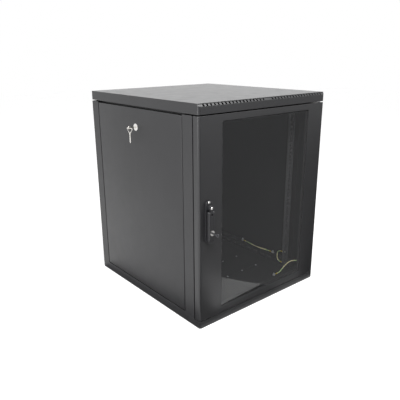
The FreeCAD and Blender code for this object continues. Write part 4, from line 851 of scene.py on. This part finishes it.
low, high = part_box("bolt_spring")
wire_r = 0.0007
coil_r = (high[0] - low[0]) / 2 - wire_r
axis_x, axis_y = (low[0] + high[0]) / 2, (low[1] + high[1]) / 2
spring_turns, steps_a_turn, closing = 5, 24, 0.35
coil = []
for k in range(spring_turns * steps_a_turn + 1):
    t = k / (spring_turns * steps_a_turn)
    climb = closing * (0.5 - 0.5 * math.cos(math.pi * t)) + (1 - closing) * t
    z = low[2] + wire_r + (high[2] - low[2] - wire_r * 2) * climb
    turn = 2 * math.pi * spring_turns * t
    coil.append(Vector((axis_x + coil_r * math.cos(turn), axis_y + coil_r * math.sin(turn), z)))
mesh = bmesh.new()
tube(mesh, coil, wire_r, 10)
spring = finished("hinge_spring", mesh, zinc, None)
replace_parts(spring, "bolt_spring")
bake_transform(spring)

# ---------------------------------------------------------------- Earth leads
# Short flexible leads with yellow and green PVC over fine copper strands, 4 mm across. Each
# end is crimped in a tinned ring terminal under a nut or bolt.

lead_r, lead_sides = 0.002, 16
green_sides, steps_a_side = 5, 3
sheath = bpy.data.materials.new("lead_sheath")
sheath.use_nodes = True
tree = sheath.node_tree
shader = tree.nodes["Principled BSDF"]
shader.inputs["Roughness"].default_value = 0.36
stripe = node(tree, "ShaderNodeAttribute", {"attribute_name": "stripe"})
tone = node(tree, "ShaderNodeMix", {"data_type": "RGBA"})
tone.inputs["A"].default_value = (1.0, 0.95, 0.56, 1)
tone.inputs["B"].default_value = (0.60, 0.80, 0.36, 1)
joined(tree, stripe.outputs["Fac"], tone.inputs["Factor"])
joined(tree, tone.outputs["Result"], shader.inputs["Base Color"])
place = node(tree, "ShaderNodeTexCoord").outputs["Object"]
ripple = node(tree, "ShaderNodeTexNoise", Scale=700.0, Detail=2.0)
joined(tree, place, ripple.inputs["Vector"])
rough = node(tree, "ShaderNodeBump", Strength=0.15, Distance=0.0001)
joined(tree, ripple.outputs["Fac"], rough.inputs["Height"])
joined(tree, rough.outputs["Normal"], shader.inputs["Normal"])


def earth_lead(name, stands_for, route):
    """One lead along its route, with the green stripe wound slowly round the yellow."""
    line = bpy.data.curves.new(name + "_line", "CURVE")
    line.dimensions = "3D"
    line.resolution_u = 10
    spline = line.splines.new("NURBS")
    spline.points.add(len(route) - 1)
    for point, place in zip(spline.points, route):
        point.co = (*place, 1)
    spline.order_u = 3
    spline.use_endpoint_u = True
    guide = bpy.data.objects.new(name + "_line", line)
    scene.collection.objects.link(guide)
    bpy.context.view_layer.update()
    walk = bpy.data.meshes.new_from_object(guide)
    path = [v.co.copy() for v in walk.vertices]
    bpy.data.objects.remove(guide)
    bpy.data.meshes.remove(walk)
    mesh = bmesh.new()
    tube(mesh, path, lead_r, lead_sides)
    mesh.faces.ensure_lookup_table()
    shades = []
    for face in mesh.faces:
        middle = face.calc_center_median()
        near = min(range(len(path)), key=lambda n: (path[n] - middle).length_squared)
        wound = (face.index + near // steps_a_side) % lead_sides
        shades.append(1.0 if wound < green_sides else 0.0)
    piece = finished(name, mesh, sheath, None)
    paint = piece.data.attributes.new("stripe", "FLOAT", "FACE")
    paint.data.foreach_set("value", shades)
    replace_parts(piece, stands_for)
    return piece


# Each route runs from one terminal's barrel to the other's: along the depth rail's top, in a
# loop beside the rack rail's leg, and from the tray up to the door.

on_rail, by_leg = 0.0576, 0.2454
depth_rail_route = [(x, y, on_rail) for x, y in (
    (0.265, 0.0245), (0.264, 0.0065), (0.258, -0.0235), (0.2555, -0.0555),
    (0.258, -0.0875), (0.262, -0.1075), (0.263, -0.1255),
)]
rack_rail_route = [(by_leg, y, z) for y, z in (
    (-0.202, 0.088), (-0.192, 0.087), (-0.185, 0.077), (-0.183, 0.064),
    (-0.185, 0.050), (-0.193, 0.040), (-0.202, 0.040),
)]
door_route = [
    (0.169, -0.251, 0.0276), (0.183, -0.2515, 0.0276), (0.195, -0.255, 0.0416),
    (0.209, -0.260, 0.0566), (0.219, -0.270, 0.0716), (0.231, -0.285, 0.0796),
    (0.246, -0.301, 0.0776), (0.254, -0.313, 0.0836), (0.257, -0.3209, 0.0956),
    (0.257, -0.3209, 0.1076),
]
depth_rail_earth = earth_lead("depth_rail_earth", "depth_rail_lead", depth_rail_route)
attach(depth_rail_earth, "cabinet")
rack_rail_earth = earth_lead("rack_rail_earth", "rack_rail_lead", rack_rail_route)
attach(rack_rail_earth, "cabinet")
door_earth = earth_lead("door_earth", "door_lead", door_route)
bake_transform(door_earth)

# Terminals, their vinyl sleeves, and the studs and nuts that clamp them.

terminal_reach, lift = 0.018, 0.0026
neck_start, neck_long = 0.0095, 0.0035
tin = zinc_plate("tin", (0.72, 0.72, 0.70), 0.26)
sleeve_vinyl = black_rubber("sleeve_vinyl", (0.55, 0.43, 0.03), 1200.0, 0.00003)
up, out_of_rail, out_of_door = Vector((0, 0, 1)), Vector((-1, 0, 0)), Vector((0, 1, 0))


def ring_terminal(mesh, sleeves, end, inward, normal):
    """A crimped ring terminal: eye, neck and barrel, with a flared sleeve over the barrel."""
    end, inward = Vector(end), Vector(inward)
    way = (end - inward).normalized()
    flat = (way - normal * way.dot(normal)).normalized()
    side = normal.cross(flat)
    foot = end - normal * lift
    eye = foot + flat * terminal_reach
    turned(mesh, frame_at(eye, normal), [
        (0.0032, 0), (0.0058, 0), (0.0060, 0.0003),
        (0.0060, 0.0009), (0.0057, ring_sheet), (0.0032, ring_sheet),
    ], 32, closed=True)
    rows = []
    for t, wide, high in (
        (0.0, 0.0020, 0.0030), (0.35, 0.0019, 0.0016), (0.7, 0.0023, 0.0011), (1.0, 0.0028, 0.0011),
    ):
        here = foot + flat * (neck_start + neck_long * t)
        low_edge, top_edge, rise = side * wide, side * wide * 0.8, normal * high
        rows.append([
            here - low_edge, here + low_edge, here + top_edge + rise, here - top_edge + rise,
        ])
    ends = [[sum(rows[0], Vector()) / 4], [sum(rows[-1], Vector()) / 4]]
    skinned(mesh, Matrix.Identity(4), ends[:1] + rows + ends[1:])
    barrel = frame_at(end, way)
    turned(mesh, barrel, [(0, 0), (0.0021, 0), (0.0021, 0.0104), (0.0017, 0.0108), (0, 0.0108)], 20)
    turned(sleeves, barrel, [
        (0.0021, 0.0), (0.0025, -0.0002), (0.0025, 0.0030), (0.00235, 0.0040), (0.00235, 0.0062),
        (0.0025, 0.0072), (0.0025, 0.0093), (0.0022, 0.0096), (0.0021, 0.0094),
    ], 20, closed=True)
    return eye


def stud_and_nut(mesh, eye, normal):
    """A welded M6 stud, a serrated washer and a hexagon nut."""
    stand = frame_at(eye, normal, 0.4)
    weld_top, nut_low, nut_top, stud_top = 0.0008, 0.0020, 0.0062, 0.0110
    turned(mesh, stand, [
        (0, 0), (0.0044, 0), (0.0040, 0.0006), (thread_r, weld_top), (0, weld_top),
    ], 24)
    turned(mesh, stand, [
        (nut_bore, ring_sheet), (washer_r, ring_sheet), (0.0054, nut_low), (nut_bore, nut_low),
    ], 24, closed=True)
    hexed(mesh, stand, across_flats, nut_low, nut_top, nut_bore)
    threaded(mesh, stand, thread_r, weld_top, stud_top)


cabinet_ends = [
    (depth_rail_route[0], depth_rail_route[1], up),
    (depth_rail_route[-1], depth_rail_route[-2], up),
    (rack_rail_route[0], rack_rail_route[1], out_of_rail),
    (door_route[0], door_route[1], up),
]
terminals, sleeves, studs = bmesh.new(), bmesh.new(), bmesh.new()
for end, inward, normal in cabinet_ends:
    stud_and_nut(studs, ring_terminal(terminals, sleeves, end, inward, normal), normal)
ring_terminal(terminals, sleeves, rack_rail_route[-1], rack_rail_route[-2], out_of_rail)
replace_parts(finished("lead_terminals", terminals, tin, "cabinet"), "ring_terminals")
finished("terminal_sleeves", sleeves, sleeve_vinyl, "cabinet")
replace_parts(finished("earth_studs", studs, zinc, "cabinet"), "ground_studs")
terminals, sleeves, studs = bmesh.new(), bmesh.new(), bmesh.new()
door_eye = ring_terminal(terminals, sleeves, door_route[-1], door_route[-2], out_of_door)
stud_and_nut(studs, door_eye, out_of_door)
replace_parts(finished("door_lead_terminal", terminals, tin, "door"), "door_terminal")
finished("door_sleeve", sleeves, sleeve_vinyl, "door")
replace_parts(finished("door_earth_stud", studs, zinc, "door"), "door_stud")
